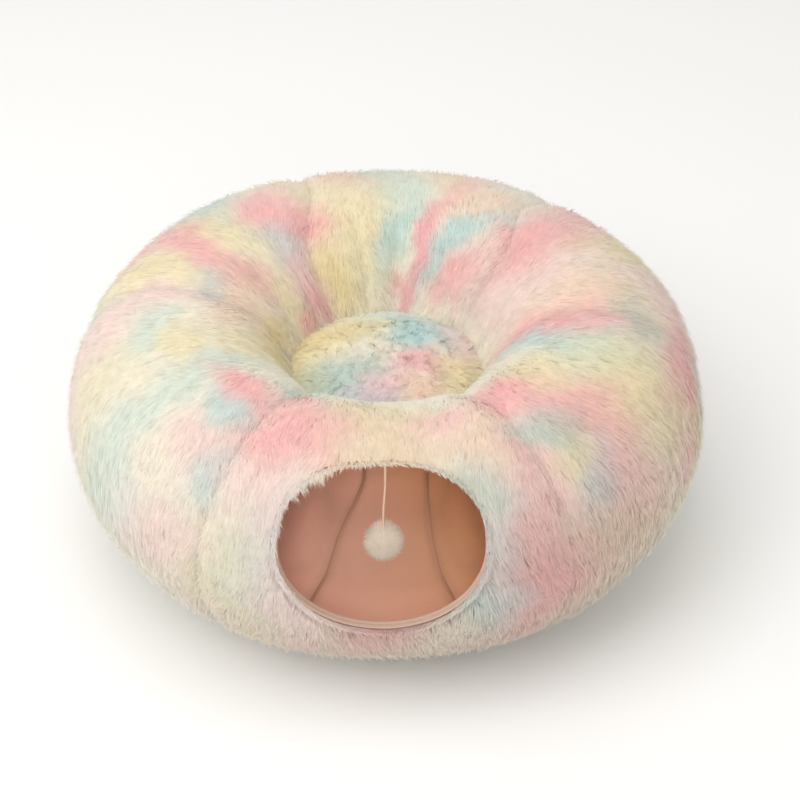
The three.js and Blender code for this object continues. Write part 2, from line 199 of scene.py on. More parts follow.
# Numbers of points along the pieces that are grids
COVER_SHARES = 21
COVER_TURNS = 72
LINING_SHOWN = 60
LINING_HIDDEN = 40
LINING_TURNS = 120
SEAM_TURNS = 180
TAPE_ANGLES = 220
TAPE_SECTION = 14
CORD_STEPS = 121
PLY_SECTION = 8
CUSHION_AZIMUTHS = 96
CUSHION_TOP_ROWS = 26
CUSHION_SIDE_ROWS = 12
CUSHION_BELLY_ROWS = 14

# A strand's root, middle pair and tip: painted shade on its dye, darkest at the root, and how far its
# shading leans to the tip
STRAND_PAINTED_SHADES = np.array([0.89, 0.98, 0.98, 1.01])
STRAND_LEANS = np.array([0.0, 0.06, 0.06, 0.16])

# The shares of a strand's length and of its bend that its middle has reached
MIDDLE_ALONG = 0.34
MIDDLE_BENT = 0.25

# Dyes as they look in plain light, in the usual 0 to 255 steps
DYES = {
    "cream": (234, 229, 214),
    "white": (230, 232, 226),
    "pink": (238, 192, 196),
    "rose": (238, 168, 174),
    "blush": (237, 212, 208),
    "peach": (236, 210, 188),
    "yellow": (233, 221, 178),
    "gold": (230, 212, 150),
    "mint": (204, 222, 213),
    "aqua": (181, 214, 214),
    "slate": (196, 204, 206),
    "lilac": (216, 204, 211),
    # Fawn is a beige dye that also carries painted shade round the entrance
    "fawn_painted_shade": (216, 194, 176),
    "sage": (190, 199, 184),
}

# Colours of the smooth cloths and the yarns, in the same steps
LINING_LEFT_COLOUR = (252, 203, 178)
LINING_RIGHT_COLOUR = (242, 185, 134)
LINING_LOW_COLOUR = (255, 205, 188)
LINING_SEAM_COLOUR = (204, 160, 134)
TAPE_COLOUR = (212, 183, 163)
CORD_COLOUR = (222, 188, 162)
POMPOM_COLOUR = (248, 233, 216)

# Soft finish of all pile, and of the smooth cloths: scale and strength of the nap, roughness, sheen
PILE_ROUGHNESS = 0.95
PLUSH_SHEEN = 0.25
POMPOM_SHEEN = 0.2
CLOTHS = {
    "lining_cloth": (900, 0.25, 0.9, 0.35),
    "lining_seam": (1600, 0.4, 0.95, 0.1),
    "binding_tape": (2200, 0.35, 0.85, 0.2),
    "cord_yarn": (2600, 0.3, 0.85, 0.1),
}

# Bands of each dye on the cover: azimuth and turn of the middle, half widths along each, degrees of
# azimuth that the band leans for one degree of turn, strength
COVER_BANDS = {
    "cream": [(10, 196, 4, 12, 0, 1.3)],
    "white": [(-52, 166, 5, 12, 0, 0.9), (19.5, 160, 3.5, 40, 0, 0.6)],
    "pink": [
        (-26, 78, 7, 7, 0, 0.9), (14, 92, 7, 8, 0, 0.9), (50, 150, 5.5, 16, 0, 0.9),
        (30.5, 119, 3.5, 9, 0, 0.8), (29, 140, 6, 16, 0, 0.8), (83, 97, 5, 8, 0, 0.7),
        (66, 167, 5, 9, 0, 0.9), (223, 47, 8, 15, 0, 0.7), (155, 165, 7, 42, -0.1, 1.0),
    ],
    "rose": [
        (-45, 90, 9, 8, 0, 1.0), (-23, 104, 11, 16, 0, 1.0), (-2, 197, 6, 12, 0, 1.0),
        (36, 84, 8, 13, 0, 1.0), (48, 112, 7.5, 22, 0.15, 0.9), (28, 180, 7.5, 24, 0, 1.3),
        (82, 70, 8, 28, 0, 1.0), (81, 145, 10, 11, 0, 0.9), (125, 82, 10, 25, 0, 1.0),
        (145, 42, 9, 13, 0, 0.9), (164, 58, 2.8, 34, -0.1, 1.3), (170, 31, 6, 5, 0, 1.0),
        (211, 75, 8.5, 12, 0, 1.3), (217, 97, 8, 15, 0, 1.0), (222, 27, 5, 8, 0, 0.9),
        (236, 25, 5, 6, 0, 0.9), (246, 62, 5, 11, 0, 0.6), (245, 96, 5.5, 28, -0.21, 0.9),
        (127, 162, 7, 40, -0.1, 0.9), (197, 160, 7, 42, 0.15, 0.9), (237, 168, 8, 34, -0.1, 0.8),
    ],
    "blush": [
        (-86, 140, 5, 18, 0, 0.9), (-40, 122, 7, 10, 0, 1.0), (-43, 168, 9, 14, 0, 0.9),
        (-26, 136, 7, 16, 0, 0.7), (-15, 182, 5, 24, 0, 0.7), (112, 45, 22, 14, 0, 0.9),
        (107, 75, 8, 15, 0, 0.9), (266, 117, 5, 27, 0, 0.9), (101, 162, 7, 40, -0.1, 0.9),
        (278, 190, 7, 26, 0, 0.8),
    ],
    "peach": [
        (-86, 66, 7, 14, 0, 0.6), (4, 100, 12, 14, 0, 0.5), (24, 109, 7, 13, 0, 1.0),
        (46, 172, 9, 20, 0, 0.8), (95, 92, 8, 28, 0, 0.9), (153, 98, 9, 12, 0, 0.9),
        (251, 63, 9, 16, 0, 1.0), (265, 57, 6, 17, 0, 0.8),
    ],
    "yellow": [
        (-68, 58, 10, 18, 0, 0.65), (-70, 96, 7, 8, 0, 0.7), (-74, 146, 7, 24, 0, 0.25),
        (-28, 178, 7, 28, 0, 0.35), (-3, 90, 12, 22, 0, 0.55), (38, 127, 4.5, 8, 0, 0.9),
        (53, 80, 8, 16, 0, 0.9), (63, 122, 10, 28, 0, 1.0), (193, 68, 12, 38, 0, 1.0),
        (233, 96, 7, 24, 0, 0.9), (238, 43, 7, 14, 0, 0.7), (256, 112, 5, 22, 0, 0.9),
        (75, 190, 8, 30, 0.1, 0.8), (113, 150, 6, 36, -0.1, 0.9), (169, 160, 7, 44, 0.1, 0.9),
        (211, 168, 8, 38, 0.1, 0.9), (250, 172, 7, 34, 0, 0.7),
    ],
    "gold": [(-80, 36, 11, 12, 0, 1.0), (208, 42, 7, 15, 0, 1.0), (261, 31, 9, 7, 0, 0.9)],
    "mint": [
        (-80, 108, 6, 8, 0, 0.6), (-58, 85, 5, 26, 0, 0.7), (-56, 140, 4, 26, 0, 0.5),
        (-60, 168, 6, 18, 0, 0.45), (-30, 60, 7, 10, 0, 0.8), (-25, 168, 6, 24, 0, 0.35),
        (68, 100, 9, 14, 0, 0.7), (176, 91, 6, 16, 0, 0.8), (183, 150, 7, 40, 0.1, 1.0),
        (262, 184, 6, 30, 0, 0.8),
    ],
    "aqua": [
        (-41, 104, 6, 6, 0, 1.0), (-34, 131, 3, 10, 0, 0.8), (16, 186, 4, 11, 0, 0.8),
        (36, 112, 5.5, 8, 0, 0.5), (70, 68, 6, 22, 0, 0.8), (152, 64, 5.5, 24, -0.36, 1.1),
        (177, 57, 5, 17, -0.36, 1.1), (88, 196, 6, 22, 0.1, 0.7), (141, 168, 7, 26, -0.15, 0.9),
        (224, 158, 6, 38, -0.1, 0.9),
    ],
    "slate": [
        (20.5, 164, 4, 28, 0, 0.7), (43, 140, 4, 11, 0, 1.0), (225, 72, 6, 15, 0, 1.1),
        (258, 81, 7, 9, 0, 0.8),
    ],
    "lilac": [(-19, 158, 6, 26, 0, 0.5)],
    # Fawn: partly the beige of the cloth, partly painted shade round and below the entrance
    "fawn_painted_shade": [
        (0, 98, 12, 16, 0, 0.45), (-4, 205, 26, 18, 0, 0.9), (30, 206, 22, 18, 0, 0.9),
        (27, 150, 6, 22, 0, 0.45), (40, 170, 8, 18, 0, 0.8),
    ],
    "sage": [(17.5, 132, 3.5, 11, 0, 0.9), (39.5, 114, 6, 9, 0, 1.3), (87, 115, 7, 9, 0, 0.9)],
}
COVER_PLAIN = 0.45
# Painted shade: the skin under the pile is a little darker than its dye, for the shade between the strands
SKIN_PAINTED_SHADE = 0.93

# Blots of each dye on the cushion: x and y of the middle, half widths along each, strength
CUSHION_BLOTS = {
    "cream": [(-0.020, 0.000, 0.026, 0.018, 0.9)],
    "pink": [(0.035, -0.016, 0.024, 0.015, 0.7), (-0.004, -0.052, 0.018, 0.012, 1.0)],
    "rose": [(0.033, -0.018, 0.026, 0.015, 0.35)],
    "blush": [(0.075, 0.030, 0.020, 0.024, 1.0)],
    "peach": [(0.034, -0.060, 0.018, 0.016, 1.1)],
    "yellow": [
        (-0.084, -0.020, 0.020, 0.030, 0.9), (-0.030, 0.044, 0.026, 0.022, 0.9),
        (0.078, -0.026, 0.022, 0.026, 1.2),
    ],
    "gold": [(-0.070, 0.036, 0.030, 0.026, 0.8)],
    "mint": [(0.010, 0.070, 0.030, 0.016, 0.9)],
    "aqua": [(-0.053, -0.038, 0.036, 0.020, 0.7), (0.037, 0.036, 0.026, 0.022, 1.2)],
    "slate": [(-0.048, -0.076, 0.018, 0.012, 1.0)],
    "lilac": [(-0.012, -0.070, 0.026, 0.018, 1.2)],
    "sage": [(-0.050, -0.036, 0.034, 0.020, 0.9)],
}
CUSHION_PLAIN = 0.25
# Painted shade: the cushion's skin under its pile is a little darker than its dye
CUSHION_SKIN_PAINTED_SHADE = 0.95

# Camera: its angle above the floor, lens and sensor in millimetres, distance from its target, and how far
# it is moved aside and down to frame the bed
CAMERA_ELEVATION = math.radians(38.5)
CAMERA_LENS = 95.5
CAMERA_SENSOR = 36
CAMERA_TARGET = Vector((0, 0, 0.131))
CAMERA_DISTANCE = 2.2
CAMERA_ASIDE = 0.014
CAMERA_DOWN = 0.0062

# Broad lamps: name, place, target, size, power, colour
BED_MIDDLE = (0, 0, 0.15)
LAMPS = [
    ("key", (-1.7, -0.9, 2.1), BED_MIDDLE, 1.8, 23.5, (1.0, 0.99, 0.97)),
    ("left", (-2.2, -0.9, 0.5), BED_MIDDLE, 1.2, 3, (1.0, 0.99, 0.98)),
    ("fill", (2.0, -0.5, 1.2), BED_MIDDLE, 1.6, 3.5, (1.0, 0.98, 0.95)),
    ("top", (-0.3, 0.2, 2.6), BED_MIDDLE, 2.0, 17.5, (1.0, 0.99, 0.98)),
    ("front", (0.0, -2.5, 1.75), (0, -0.25, 0.13), 1.0, 7, (1.0, 0.97, 0.93)),
]
SKY_COLOUR = (1.0, 0.99, 0.97, 1)
SKY_STRENGTH = 0.63
FLOOR_COLOUR = (0.96, 0.96, 0.955, 1)
FLOOR_REACH = 8

# Narrow lamps that shine into the tunnel: name, place, power, the part of the toy that they light
TUNNEL_LAMPS = [
    ("tunnel_left", (-1.10, -1.40, 0.95), 42, "cord"),
    ("tunnel_right", (1.10, -1.40, 0.95), 53, "cord"),
    ("tunnel_front", (0.0, -1.72, 1.50), 63, "cord"),
    ("tunnel_above", (0.0, -1.40, 1.75), 56, "pompom"),
]
TUNNEL_LAMP_COLOUR = (1.0, 0.96, 0.88)
TUNNEL_LAMP_WIDTH = math.radians(14)


# Plain arithmetic

def smooth(low, high, value):
    """0 at low, 1 at high and a soft step between them. low may be the larger."""
    share = np.clip((value - low) / (high - low), 0, 1)
    return share * share * (3 - 2 * share)


def near(distance, width):
    """1 at no distance, falling away within about two widths."""
    return np.exp(-((distance / width) ** 2))


def sine(degrees):
    return np.sin(np.radians(degrees))


def cosine(degrees):
    return np.cos(np.radians(degrees))


def difference(first, second):
    """Difference between angles in degrees, at most half a round either way."""
    return (first - second + 180) % 360 - 180


def apart(first, second):
    return np.abs(difference(first, second))


def once_round(count, whole=360):
    """Evenly spaced angles."""
    return np.linspace(0, whole, count, endpoint=False)


def unit(vectors):
    return vectors / np.maximum(np.linalg.norm(vectors, axis=-1, keepdims=True), 1e-12)


def linear(colour):
    """Light in the renderer's own scale from a colour in 0 to 255 steps."""
    share = np.asarray(colour, float) / 255
    return np.where(share <= 0.04045, share / 12.92, ((share + 0.055) / 1.055) ** 2.4)


# The ring's surface, from the same sizes as the solids

def reach_in(azimuth):
    return REACH_IN + BACK_LEAN * (0.5 - 0.5 * cosine(azimuth)) ** 2


def outer_power(azimuth, lower):
    """How square the outside of the section is: the front is rounder, and so is the lower half."""
    upper_power = OUTER_POWER - FRONT_POWER_DROP * near(apart(azimuth, 0), FRONT_POWER_SPREAD)
    return upper_power - LOWER_POWER_DROP * lower


def section_point(azimuth, turn, depth):
    """Distance from the ring's axis and height, at a depth below the pile's tips."""
    across = cosine(turn)
    upwards = sine(turn)
    outside = across < 0
    power = np.where(outside, outer_power(azimuth, upwards < 0), 2.0)
    reach = np.where(outside, REACH_OUT, reach_in(azimuth)) - depth
    fit = (np.abs(across) ** power + np.abs(upwards) ** power) ** (-1 / power)
    height = HEIGHT - RISE + (RISE - depth) * upwards * fit
    return RING_RADIUS - reach * across * fit, np.maximum(height, np.maximum(depth, 0))


def round_axis(azimuth, radius, height):
    """Points at a distance from the ring's axis and a height."""
    x = radius * sine(azimuth)
    y = -radius * cosine(azimuth)
    return np.stack(np.broadcast_arrays(x, y, height), axis=-1)


def from_axis(points):
    """Azimuth of points and their distance from the ring's axis."""
    x = points[..., 0]
    y = points[..., 1]
    return np.degrees(np.arctan2(x, -y)), np.hypot(x, y)


def ring_point(azimuth, turn, depth):
    return round_axis(azimuth, *section_point(azimuth, turn, depth))


def ring_place(points):
    """Azimuth and turn of points near the ring's surface."""
    azimuth, radius = from_axis(points)
    from_crest = radius - RING_RADIUS
    reach = np.where(from_crest > 0, REACH_OUT, reach_in(azimuth))
    upwards = (points[:, 2] - (HEIGHT - RISE)) / RISE
    return azimuth, np.degrees(np.arctan2(upwards, -from_crest / reach)) % 360


def is_within(points, depth):
    """Whether points are deeper in the tube than the plain section at that depth."""
    azimuth, radius = from_axis(points)
    from_crest = radius - RING_RADIUS
    upwards = (points[:, 2] - (HEIGHT - RISE)) / (RISE - depth)
    reach = np.where(from_crest > 0, REACH_OUT, reach_in(azimuth)) - depth
    power = np.where(from_crest > 0, outer_power(azimuth, upwards < 0), 2.0)
    return (np.abs(from_crest) / reach) ** power + np.abs(upwards) ** power < 1


def seam_azimuth(index, turn):
    start, lean = GORES[index % len(GORES)][2:4]
    around = 360 * (index // len(GORES))
    return start + around + lean * smooth(0, 1, cosine(turn - 20))


def gore_azimuth(index, share, turn):
    start = seam_azimuth(index, turn)
    return start + (seam_azimuth(index + 1, turn) - start) * share


def seam_distance(index, share, turn):
    azimuth = gore_azimuth(index, share, turn)
    first = apart(azimuth, seam_azimuth(index, turn))
    second = apart(azimuth, seam_azimuth(index + 1, turn))
    radius = section_point(azimuth, turn, 0.0)[0]
    return np.radians(np.minimum(first, second)) * radius


def cover_depth(index, share, turn):
    """How deep the pile's tips lie below the plain section: grooves and pleats, less the gore's swell."""
    azimuth = gore_azimuth(index, share, turn)
    radius, height = section_point(azimuth, turn, 0.0)
    from_seam = seam_distance(index, share, turn)
    well_side = smooth(-0.2, 0.8, cosine(turn - 40))
    deepest = GROOVE_OUTSIDE + (GROOVE_AT_WELL - GROOVE_OUTSIDE) * well_side
    depth = deepest * near(from_seam, GROOVE_WIDTH) + STITCH_DEPTH * near(from_seam, STITCH_WIDTH)
    for pleat_azimuth, pleat_turn, spread, width, pleat_depth in PLEATS:
        aside = np.radians(apart(azimuth, pleat_azimuth)) * radius
        depth = depth + pleat_depth * near(aside, width) * near(apart(turn, pleat_turn), spread)
    outwards = -cosine(turn)
    depth = depth - GORES[index][4] * smooth(0.1, 0.7, outwards) * np.sin(np.pi * share) ** 2
    for rounds, turns, phase, lump_height in LUMPS:
        wave = sine(rounds * azimuth + phase) * sine(turns * turn)
        depth = depth + lump_height * wave * smooth(-0.75, -0.3, outwards)
    return depth * smooth(0.010, 0.070, height)


def off_the_floor(azimuth, turn):
    """0 where the cover lies flat on the floor, 1 a little above it."""
    return smooth(0.0, 0.016, section_point(azimuth, turn, 0.0)[1])


def skin_point(index, share, turn):
    """A point of the cloth that the pile grows from, deeper low outside, where pile hangs off most."""
    azimuth = gore_azimuth(index, share, turn)
    hanging = smooth(0.15, -0.45, sine(turn)) * smooth(-0.1, 0.2, -cosine(turn))
    below = (PILE_HEIGHT + HANGING_ROOM * hanging) * off_the_floor(azimuth, turn)
    return ring_point(azimuth, turn, cover_depth(index, share, turn) + below)


def skin_slope(index, share, turn):
    """The ways along the section and out of the skin."""
    along_turn = skin_point(index, share, turn + TURN_STEP) - skin_point(index, share, turn - TURN_STEP)
    along_share = skin_point(index, share + SHARE_STEP, turn) - skin_point(index, share - SHARE_STEP, turn)
    return unit(along_turn), unit(np.cross(along_turn, along_share))


# The entrance

def oval_radius(angle):
    """Radius of the entrance's oval with both half axes 1: a circle in its lower half, squarer above."""
    power = np.where(np.sin(angle) > 0, ENTRANCE_UPPER_POWER, 2.0)
    return (np.abs(np.cos(angle)) ** power + np.abs(np.sin(angle)) ** power) ** (-1 / power)


def entrance_point(angle, inwards=0.0, along=0.0):
    across = (ENTRANCE_HALF_WIDTH - inwards) * oval_radius(angle) * np.cos(angle)
    upwards = (ENTRANCE_HALF_HEIGHT - inwards) * oval_radius(angle) * np.sin(angle)
    offset = np.multiply.outer(across, ENTRANCE_RIGHT) + np.multiply.outer(upwards, ENTRANCE_UP)
    return ENTRANCE_CENTRE + offset + np.multiply.outer(along, ENTRANCE_OUTWARDS)


def towards_middle(angle):
    return unit(entrance_point(angle, 0.001) - entrance_point(angle))


def entrance_place(points):
    """How far points lie across and above the entrance's middle, in its half axes, and outwards."""
    offset = points - ENTRANCE_CENTRE
    across = offset @ ENTRANCE_RIGHT / ENTRANCE_HALF_WIDTH
    upwards = offset @ ENTRANCE_UP / ENTRANCE_HALF_HEIGHT
    return across, upwards, offset @ ENTRANCE_OUTWARDS


def entrance_share(points):
    """How far points lie from the entrance's middle: 1 on its edge, endless on the ring's other sides."""
    across, upwards, outwards = entrance_place(points)
    share = np.hypot(across, upwards) / oval_radius(np.arctan2(upwards, across))
    return np.where((outwards > -CUT_INWARDS) & (points[:, 1] < ENTRANCE_SIDE), share, np.inf)


def at_upper_left(angle):
    """1 at the upper left of the entrance's edge, falling to 0 further round it."""
    return near(apart(np.degrees(angle), UPPER_LEFT), UPPER_LEFT_SPREAD)


def upper_left(points):
    across, upwards = entrance_place(points)[:2]
    return at_upper_left(np.arctan2(upwards, across))


def edge_point(angle, inwards, depth):
    """Where lines through the entrance at these angles leave the tube at a depth of its wall."""
    inner = np.full(len(angle), -CUT_INWARDS)
    outer = np.full(len(angle), CUT_OUTWARDS)
    for _ in range(30):
        middle = (inner + outer) / 2
        within = is_within(entrance_point(angle, inwards, middle), depth)
        inner = np.where(within, middle, inner)
        outer = np.where(within, outer, middle)
    return entrance_point(angle, inwards, inner)


# Dyes

def blended(parts, plain):
    """Colour of weighted dyes over a plain share of cream."""
    total = np.full(len(parts[0][0]), plain)
    colour = total[:, None] * linear(DYES["cream"])
    for weight, dye in parts:
        total = total + weight
        colour = colour + weight[:, None] * linear(DYES[dye])
    return colour / total[:, None]


def cover_dye(azimuth, turn):
    """Colour of the cover's dye, blended from its bands with uneven edges."""
    wavy_azimuth = azimuth + 1.6 * sine(7 * turn + 3 * azimuth) + 0.9 * sine(17 * turn - 11 * azimuth)
    wavy_turn = turn + 3.0 * sine(9 * azimuth + 2 * turn) + 1.8 * sine(23 * azimuth - 5 * turn)
    parts = []
    for dye, bands in COVER_BANDS.items():
        for middle, middle_turn, half, half_turn, lean, strength in bands:
            off_turn = difference(wavy_turn, middle_turn)
            off_azimuth = difference(wavy_azimuth, middle + lean * off_turn)
            distance = (off_azimuth / half) ** 2 + (off_turn / half_turn) ** 2
            parts.append((strength * np.exp(-0.8 * distance**1.15), dye))
    return blended(parts, COVER_PLAIN)


def cushion_dye(points):
    x = points[:, 0] + 0.004 * np.sin(90 * points[:, 1] + 50 * points[:, 0])
    y = points[:, 1] + 0.004 * np.sin(110 * points[:, 0] - 40 * points[:, 1])
    parts = []
    for dye, blots in CUSHION_BLOTS.items():
        for middle_x, middle_y, half_x, half_y, strength in blots:
            distance = ((x - middle_x) / half_x) ** 2 + ((y - middle_y) / half_y) ** 2
            parts.append((strength * np.exp(-0.7 * distance**1.2), dye))
    return blended(parts, CUSHION_PLAIN)


# Meshes

def placed(name, data):
    thing = bpy.data.objects.new(name, data)
    bpy.context.scene.collection.objects.link(thing)
    return thing


def mesh_piece(name, material, points, faces, colours=None, normals=None, chart=None):
    """A piece from arrays, with a dye and painted shade for each point, its own shading normals and a map
    for its colours.

    faces is one array of faces with the same number of corners, or a list of such arrays. A piece that is
    still to be cut gets its material and dye afterwards."""
    groups = faces if isinstance(faces, list) else [faces]
    corners = np.concatenate([group.ravel() for group in groups]).astype(np.int32)
    sizes = np.concatenate([np.full(len(group), group.shape[1]) for group in groups])
    mesh = bpy.data.meshes.new(name)
    mesh.vertices.add(len(points))
    mesh.vertices.foreach_set("co", points.astype(np.float32).ravel())
    mesh.loops.add(len(corners))
    mesh.loops.foreach_set("vertex_index", corners)
    mesh.polygons.add(len(sizes))
    mesh.polygons.foreach_set("loop_start", (np.cumsum(sizes) - sizes).astype(np.int32))
    mesh.polygons.foreach_set("use_smooth", np.ones(len(sizes), bool))
    mesh.update(calc_edges=True)
    if colours is not None:
        paint(mesh, colours)
    if chart is not None:
        layer = mesh.uv_layers.new(name="OFBake")
        layer.uv.foreach_set("vector", chart[corners].astype(np.float32).ravel())
    if normals is not None:
        mesh.normals_split_custom_set_from_vertices(normals.astype(np.float32))
    piece = placed(name, mesh)
    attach(piece, "root")
    if material:
        mesh.materials.append(material)
    return piece


def paint(mesh, colours):
    """Gives each point of a mesh its own dye, with any painted shade and light, or all of them the same
    one.
    """
    dye = mesh.attributes.get("dye") or mesh.attributes.new("dye", "FLOAT_COLOR", "POINT")
    opaque = np.ones((len(mesh.vertices), 4), np.float32)
    opaque[:, :3] = colours
    dye.data.foreach_set("color", opaque.ravel())


def points_of(mesh):
    points = np.empty(3 * len(mesh.vertices), np.float32)
    mesh.vertices.foreach_get("co", points)
    return points.reshape(-1, 3).astype(float)


def grid_faces(rows, columns, rows_joined):
    """Four-cornered faces of a grid of points, row by row. Each row closes on itself."""
    row_steps = np.arange(rows if rows_joined else rows - 1)
    row, column = np.meshgrid(row_steps, np.arange(columns), indexing="ij")
    next_row = (row + 1) % rows
    next_column = (column + 1) % columns
    corners = [
        row * columns + column,
        row * columns + next_column,
        next_row * columns + next_column,
        next_row * columns + column,
    ]
    return np.stack(corners, axis=-1).reshape(-1, 4)


def joined_grids(grids, rows_joined):
    """Points and faces of several grids of the same size, as one mesh."""
    points = np.stack(grids)
    rows, columns = points.shape[1:3]
    starts = rows * columns * np.arange(len(grids))
    faces = starts[:, None, None] + grid_faces(rows, columns, rows_joined)
    return points.reshape(-1, 3), faces.reshape(-1, 4)


def cut_entrance(piece):
    """Cuts the oval entrance through a piece."""
    tube = bmesh.new()
    length = CUT_INWARDS + CUT_OUTWARDS
    bmesh.ops.create_cone(tube, cap_ends=True, segments=CUT_SIDES, radius1=1, radius2=1, depth=length)
    for vertex in tube.verts:
        along = vertex.co.z + length / 2 - CUT_INWARDS
        vertex.co = Vector(entrance_point(math.atan2(vertex.co.y, vertex.co.x), 0.0, along))
    mesh = bpy.data.meshes.new("entrance_cut")
    tube.to_mesh(mesh)
    tube.free()
    cutter = placed("entrance_cut", mesh)
    modifier = piece.modifiers.new("entrance", "BOOLEAN")
    modifier.operation = "DIFFERENCE"
    modifier.solver = "EXACT"
    modifier.object = cutter
    bpy.context.view_layer.update()
    cut = bpy.data.meshes.new_from_object(piece.evaluated_get(bpy.context.evaluated_depsgraph_get()))
    piece.modifiers.clear()
    whole = piece.data
    piece.data = cut
    bpy.data.meshes.remove(whole)
    cut.name = piece.name
    bpy.data.objects.remove(cutter)
    bpy.data.meshes.remove(mesh)


# Strands of pile: four points each, from a root over a middle pair to a tip

def strand_points(roots, normals, flows, lengths, heights, widths, bends, rolls, arch=0.8):
    """Points of strands. arch is the share of its height that a strand has reached at its middle."""
    aside = unit(np.cross(normals, flows))
    flat = np.cos(rolls)[:, None] * aside + np.sin(rolls)[:, None] * normals
    rises = heights[:, None] * normals
    runs = lengths[:, None] * flows
    tips = roots + rises + runs + bends
    middles = roots + arch * rises + MIDDLE_ALONG * runs + MIDDLE_BENT * bends
    half = 0.5 * widths[:, None] * flat
    return np.stack([roots, middles - half, middles + half, tips], axis=1)


def strand_colours(colours, brightness):
    """The dye of each strand, with painted shade at its root, and uneven from strand to strand."""
    shaded = colours[:, None, :] * STRAND_PAINTED_SHADES[None, :, None] * brightness[:, None, None]
    return np.clip(shaded.reshape(-1, 3), 0, 1)


def strand_piece(name, material, strands, colours, normals, flows, jitter, chart=None):
    """A piece of pile. It casts no shadow, as strands this wide would cast far more than real ones."""
    leaning = normals[:, None, :] + STRAND_LEANS[None, :, None] * flows[:, None, :] + jitter[:, None, :]
    shading = unit(leaning).reshape(-1, 3)
    start = 4 * np.arange(len(strands))[:, None]
    faces = np.concatenate([start + np.array([0, 1, 2]), start + np.array([1, 3, 2])])
    pile = mesh_piece(name, material, strands.reshape(-1, 3), faces, colours, shading, chart)
    pile.visible_shadow = False
    return pile


def in_clumps(random, column, row, size):
    """The ways from strands on a map, in clump steps, to their clump's middle, and its four chances."""
    cell_column = np.floor(column).astype(int)
    cell_row = np.floor(row).astype(int)
    chance = random.uniform(-1, 1, (cell_column.max() + 1, cell_row.max() + 1, 4))[cell_column, cell_row]
    aside = size * (cell_column + 0.5 + 0.4 * chance[:, 0] - column)
    along = size * (cell_row + 0.5 + 0.4 * chance[:, 1] - row)
    return aside[:, None], along[:, None], chance


def spike_arrays(roots, tips, radius):
    """Points and faces of thin three-sided spikes, for pile that is seen from all sides."""
    along = unit(tips - roots)
    aside = unit(np.cross(along, np.roll(along, 1, axis=1) + 0.3))
    across = np.cross(along, aside)
    points = []
    for angle in once_round(3, 2 * math.pi):
        points.append(roots + radius * (math.cos(angle) * aside + math.sin(angle) * across))
    points.append(tips)
    start = 4 * np.arange(len(roots))[:, None]
    faces = np.concatenate([start + np.array(face) for face in ([0, 1, 3], [1, 2, 3], [2, 0, 3])])
    return np.stack(points, axis=1).reshape(-1, 3), faces


# Materials

def set_inputs(tree, node, inputs):
    """Puts a value or another node's output on each of these inputs of a node."""
    for name, value in inputs.items():
        if isinstance(value, bpy.types.NodeSocket):
            tree.links.new(value, node.inputs[name])
        else:
            node.inputs[name].default_value = value


def add_node(tree, kind, inputs):
    node = tree.nodes.new(kind)
    set_inputs(tree, node, inputs)
    return node


def noise(tree, scale, detail):
    place = add_node(tree, "ShaderNodeTexCoord", {}).outputs["Object"]
    grain = add_node(tree, "ShaderNodeTexNoise", {"Scale": scale, "Detail": detail, "Vector": place})
    return grain.outputs["Fac"]


def pile_material(name, roughness, sheen, darkest=0.93, lightest=1.04):
    """Soft pile: the strands' dye, with its painted shade and light, and a fine unevenness."""
    material = bpy.data.materials.new(name)
    material.use_nodes = True
    tree = material.node_tree
    dye = add_node(tree, "ShaderNodeAttribute", {})
    dye.attribute_name = "dye"
    spread = {"From Min": 0.3, "From Max": 0.7, "To Min": darkest, "To Max": lightest}
    uneven = add_node(tree, "ShaderNodeMapRange", {"Value": noise(tree, 90, 3), **spread})
    mixed = add_node(tree, "ShaderNodeMix", {})
    mixed.data_type = "RGBA"
    mixed.blend_type = "MULTIPLY"
    set_inputs(tree, mixed, {"Factor": 1, "A": dye.outputs["Color"], "B": uneven.outputs["Result"]})
    finish = {
        "Base Color": mixed.outputs["Result"],
        "Roughness": roughness,
        "Specular IOR Level": 0.15,
        "Sheen Weight": sheen,
        "Sheen Roughness": 0.6,
    }
    set_inputs(tree, tree.nodes["Principled BSDF"], finish)
    return material


def cloth_material(name):
    """Smooth cloth: painted colour and a fine nap as bump."""
    scale, strength, roughness, sheen = CLOTHS[name]
    material = pile_material(name, roughness, sheen, 0.98, 1.01)
    tree = material.node_tree
    relief = {"Strength": strength, "Distance": 0.001, "Height": noise(tree, scale, 2)}
    raised = add_node(tree, "ShaderNodeBump", relief)
    set_inputs(tree, tree.nodes["Principled BSDF"], {"Normal": raised.outputs["Normal"]})
    return material


# Camera, floor and light

def aim(thing, target):
    direction = Vector(target) - thing.location
    thing.rotation_euler = direction.to_track_quat("-Z", "Y").to_euler()


def make_camera():
    backwards = Vector((0, -math.cos(CAMERA_ELEVATION), math.sin(CAMERA_ELEVATION)))
    upwards = Vector((0, math.sin(CAMERA_ELEVATION), math.cos(CAMERA_ELEVATION)))
    camera = placed("camera", bpy.data.cameras.new("camera"))
    camera.data.lens = CAMERA_LENS
    camera.data.sensor_width = CAMERA_SENSOR
    camera.location = CAMERA_TARGET + CAMERA_DISTANCE * backwards
    aim(camera, CAMERA_TARGET)
    camera.location += CAMERA_ASIDE * Vector((1, 0, 0)) - CAMERA_DOWN * upwards
    bpy.context.scene.camera = camera


